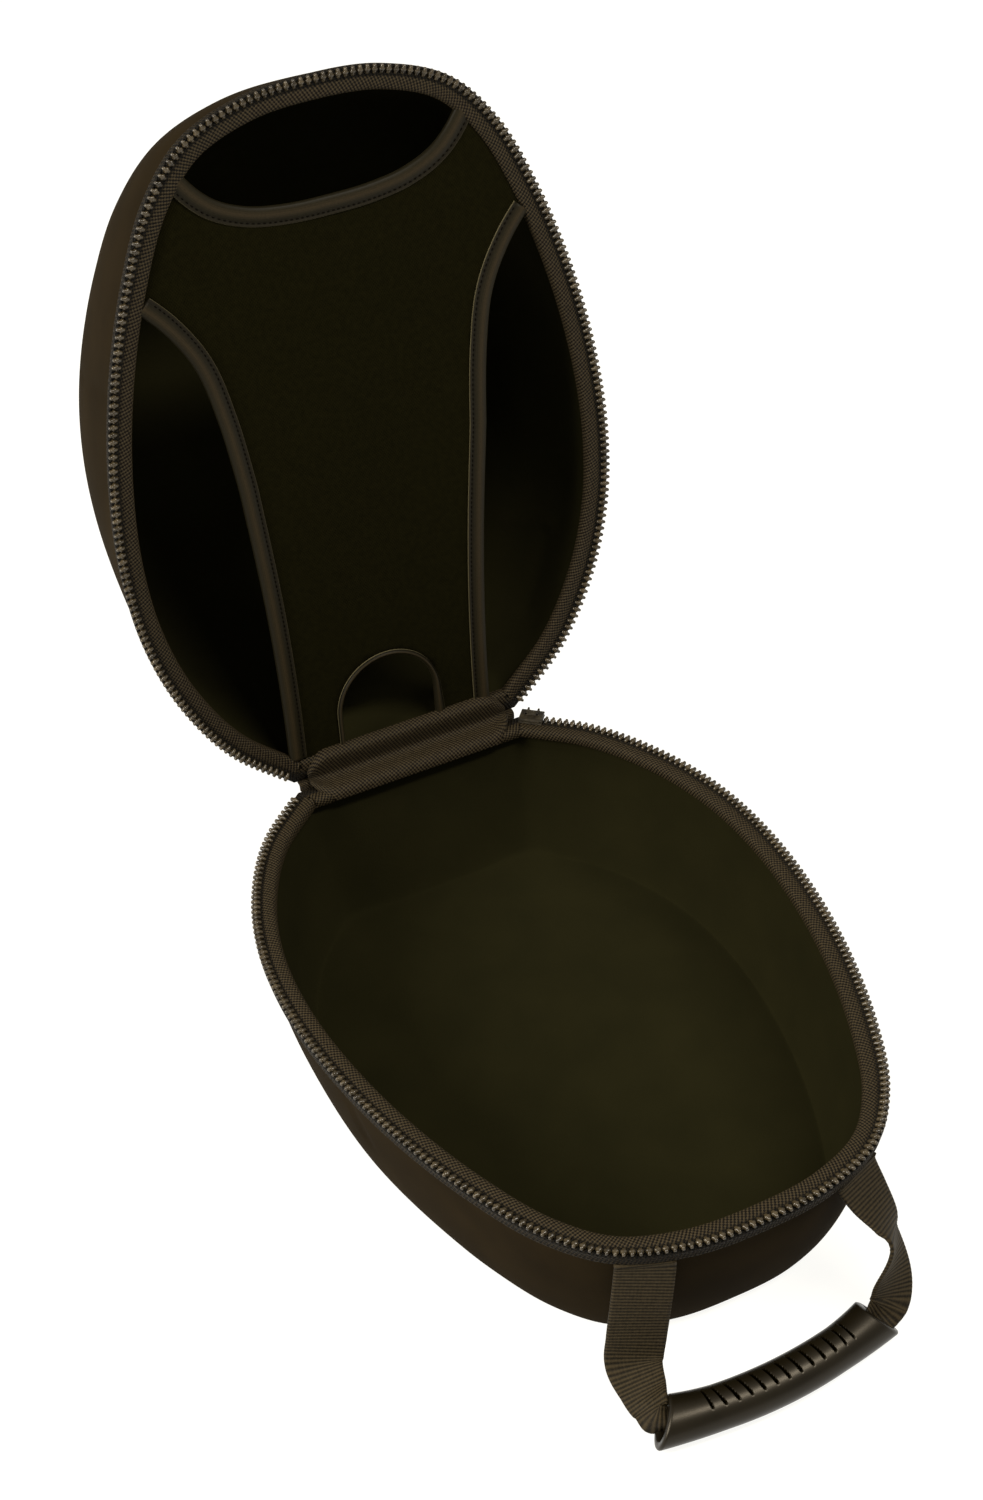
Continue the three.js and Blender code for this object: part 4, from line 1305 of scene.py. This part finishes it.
centres, acrosses, sizes_there = zip(*stations)
route_steps = 600
route = Track([even_curve(centres, i / route_steps) for i in range(route_steps + 1)])
pick_height = 0.07
webbing_rings = int(route.length / (pick_pitch / 4))
section_steps = 22
rings, downs = [], []
for i in range(webbing_rings + 1):
    distance = route.length * i / webbing_rings
    j = min(bisect.bisect_right(route.lengths, distance) - 1, route_steps - 1)
    step = (distance - route.lengths[j]) / (route.lengths[j + 1] - route.lengths[j])
    t = (j + step) / route_steps
    centre = even_curve(centres, t)
    along = (even_curve(centres, min(t + 1e-4, 1)) - even_curve(centres, max(t - 1e-4, 0))).normalized()
    across = even_curve(acrosses, t)
    across = (across - along * across.dot(along)).normalized()
    normal = along.cross(across)
    width, thickness, fold = even_curve(sizes_there, t)
    fold = max(0, min(1, fold))
    rib = pick_height * math.cos(math.tau * distance / pick_pitch)
    pleat = max(0, thickness - webbing_thickness) / 2
    ring = []
    for face in (1, -1):
        for k in range(section_steps + 1):
            u = face * (1 - 2 * k / section_steps)
            edge = 1 - 0.35 * max(0, (abs(u) - 0.93) / 0.07)
            lift = pleat * math.cos(math.pi * u)
            body = webbing_thickness / 2 * (1 - 0.25 * fold) * edge
            rise = lift + face * (body + rib * edge)
            ring.append((centre + across * (u * width / 2) + normal * rise) * mm)
    rings.append(ring)
    downs.append(distance)
edge_turn = 2
half_runs = [webbing_width * k / section_steps for k in range(section_steps + 1)]
runs = half_runs + [webbing_width + edge_turn + r for r in half_runs]
mesh, ring = drawn_skin(rings, True, runs, downs)
close_ends(mesh, ring)
lay_cloth(mesh, 2 * (webbing_width + edge_turn))
strap = new_piece("handle_strap", mesh, webbing)
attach(strap, "base")
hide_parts("handle_webbing")

# Grip: a bowed tube of semi-gloss moulded thermoplastic rubber, open at its mitred ends, with
# thirteen flexing slits cut across its top.
slit_count = 13
slit_pitch = 5.8
slit_width = 1.0
slit_depth = 1.5
slit_from = 60
slit_to = 122
slit_lean = 12
# Moulded semi-gloss: nearly black, with one long soft streak of light along the top.
rubber, tree, shader, at = new_finish("moulded_thermoplastic_rubber")
haze = add_node(tree, "ShaderNodeTexNoise", {"Vector": at.outputs["Object"], "Scale": 60.0, "Detail": 4.0})
tone = add_node(tree, "ShaderNodeValToRGB", {"Fac": haze.outputs["Fac"]})
tone.color_ramp.elements[0].position = 0.3
tone.color_ramp.elements[0].color = linear("#0d0a04")
tone.color_ramp.elements[1].position = 0.75
tone.color_ramp.elements[1].color = linear("#120e06")
polish = add_node(tree, "ShaderNodeMapRange", {"Value": haze.outputs["Fac"], "To Min": 0.32, "To Max": 0.39})
feed(tree, shader, "Roughness", polish.outputs["Result"])
shader.inputs["IOR"].default_value = 1.34
shader.inputs["Specular Tint"].default_value = linear("#fff4e2")
spark = add_node(tree, "ShaderNodeTexNoise", {"Vector": at.outputs["Object"], "Scale": 1500.0, "Detail": 2.0})
eroded = add_node(
    tree, "ShaderNodeBump", {"Height": spark.outputs["Fac"], "Strength": 0.12, "Distance": 0.06 * mm},
)
feed(tree, shader, "Normal", eroded.outputs["Normal"])
# dust and shade gather in the slits, which the finish darkens by the share of their depth
slit_share = add_node(tree, "ShaderNodeAttribute", attribute_name="slit")
darkened = add_node(
    tree, "ShaderNodeMix",
    {0: slit_share.outputs["Fac"], 6: tone.outputs["Color"], 7: linear("#030200")},
    data_type="RGBA",
)
feed(tree, shader, "Base Color", darkened.outputs[2])
unlit = add_node(
    tree, "ShaderNodeMapRange",
    {"Value": slit_share.outputs["Fac"], "From Max": 0.5, "To Min": 0.5, "To Max": 0.0},
)
feed(tree, shader, "Specular IOR Level", unlit.outputs["Result"])


def end_cut(share, out, up):
    """How far along the grip a place on it is moved by the slanted cut at the nearer end."""
    from_end = min(share, 1 - share) * grip_length
    back_slant, up_slant = grip_mitres[share > 0.5]
    moved = max(0, 1 - from_end / grip_mitre_reach) * (back_slant * out + up_slant * up)
    return moved if share < 0.5 else -moved


def slit_cut(distance, angle, width=slit_width):
    """How deep a place on the grip lies in the nearest slit, as a share of the slit's depth."""
    from_top = math.radians(angle - 90) * grip_width / 2
    middle = grip_length / 2 + math.tan(math.radians(slit_lean)) * from_top
    i = round((distance - middle) / slit_pitch)
    if abs(i) > (slit_count - 1) / 2 or not slit_from < angle < slit_to:
        return 0
    away = abs(distance - middle - i * slit_pitch) / (width / 2)
    ends = min(angle - slit_from, slit_to - angle) / 8
    return max(0, 1 - away ** 4) * min(1, ends)


grip_sides = 96
grip_rings = 330
bore_rings = 40
end_rounding = 0.9
rings, downs = [], []
for i in range(grip_rings + 1):
    share = i / grip_rings
    from_end = min(share, 1 - share) * grip_length
    rounding = end_rounding * max(0, 1 - from_end / 1.2) ** 2
    centre = grip_centre(share)
    ring = []
    for k in range(grip_sides):
        angle = math.tau * k / grip_sides
        cut = slit_depth * slit_cut(share * grip_length, math.degrees(angle))
        out = (grip_width / 2 - rounding - cut) * math.cos(angle)
        up = (grip_height / 2 - rounding - cut) * math.sin(angle)
        ring.append(Vector((centre.x + end_cut(share, out, up), centre.y + out, centre.z + up)) * mm)
    rings.append(ring)
    downs.append(share * grip_length)
for i in range(bore_rings, -1, -1):
    share = i / bore_rings
    centre = grip_centre(share)
    ring = []
    for k in range(grip_sides):
        angle = math.tau * k / grip_sides
        out = (grip_width / 2 - grip_wall) * math.cos(angle)
        up = (grip_height / 2 - grip_wall) * math.sin(angle)
        ring.append(Vector((centre.x + end_cut(share, out, up), centre.y + out, centre.z + up)) * mm)
    rings.append(ring)
    downs.append(-1)
mesh, ring = drawn_skin([*rings, rings[0]], True, None, [*downs, -1])
bmesh.ops.remove_doubles(mesh, verts=mesh.verts, dist=1e-7)
place, down = mesh.verts.layers.int["place"], mesh.verts.layers.float["down"]
slit = mesh.verts.layers.float.new("slit")
for v in mesh.verts:
    v[slit] = min(1, 1.5 * slit_cut(v[down], 360 * v[place] / grip_sides, 1.5 * slit_width))
grip = new_piece("handle_grip_wrap", mesh, rubber)
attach(grip, "base")
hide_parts("handle_grip")
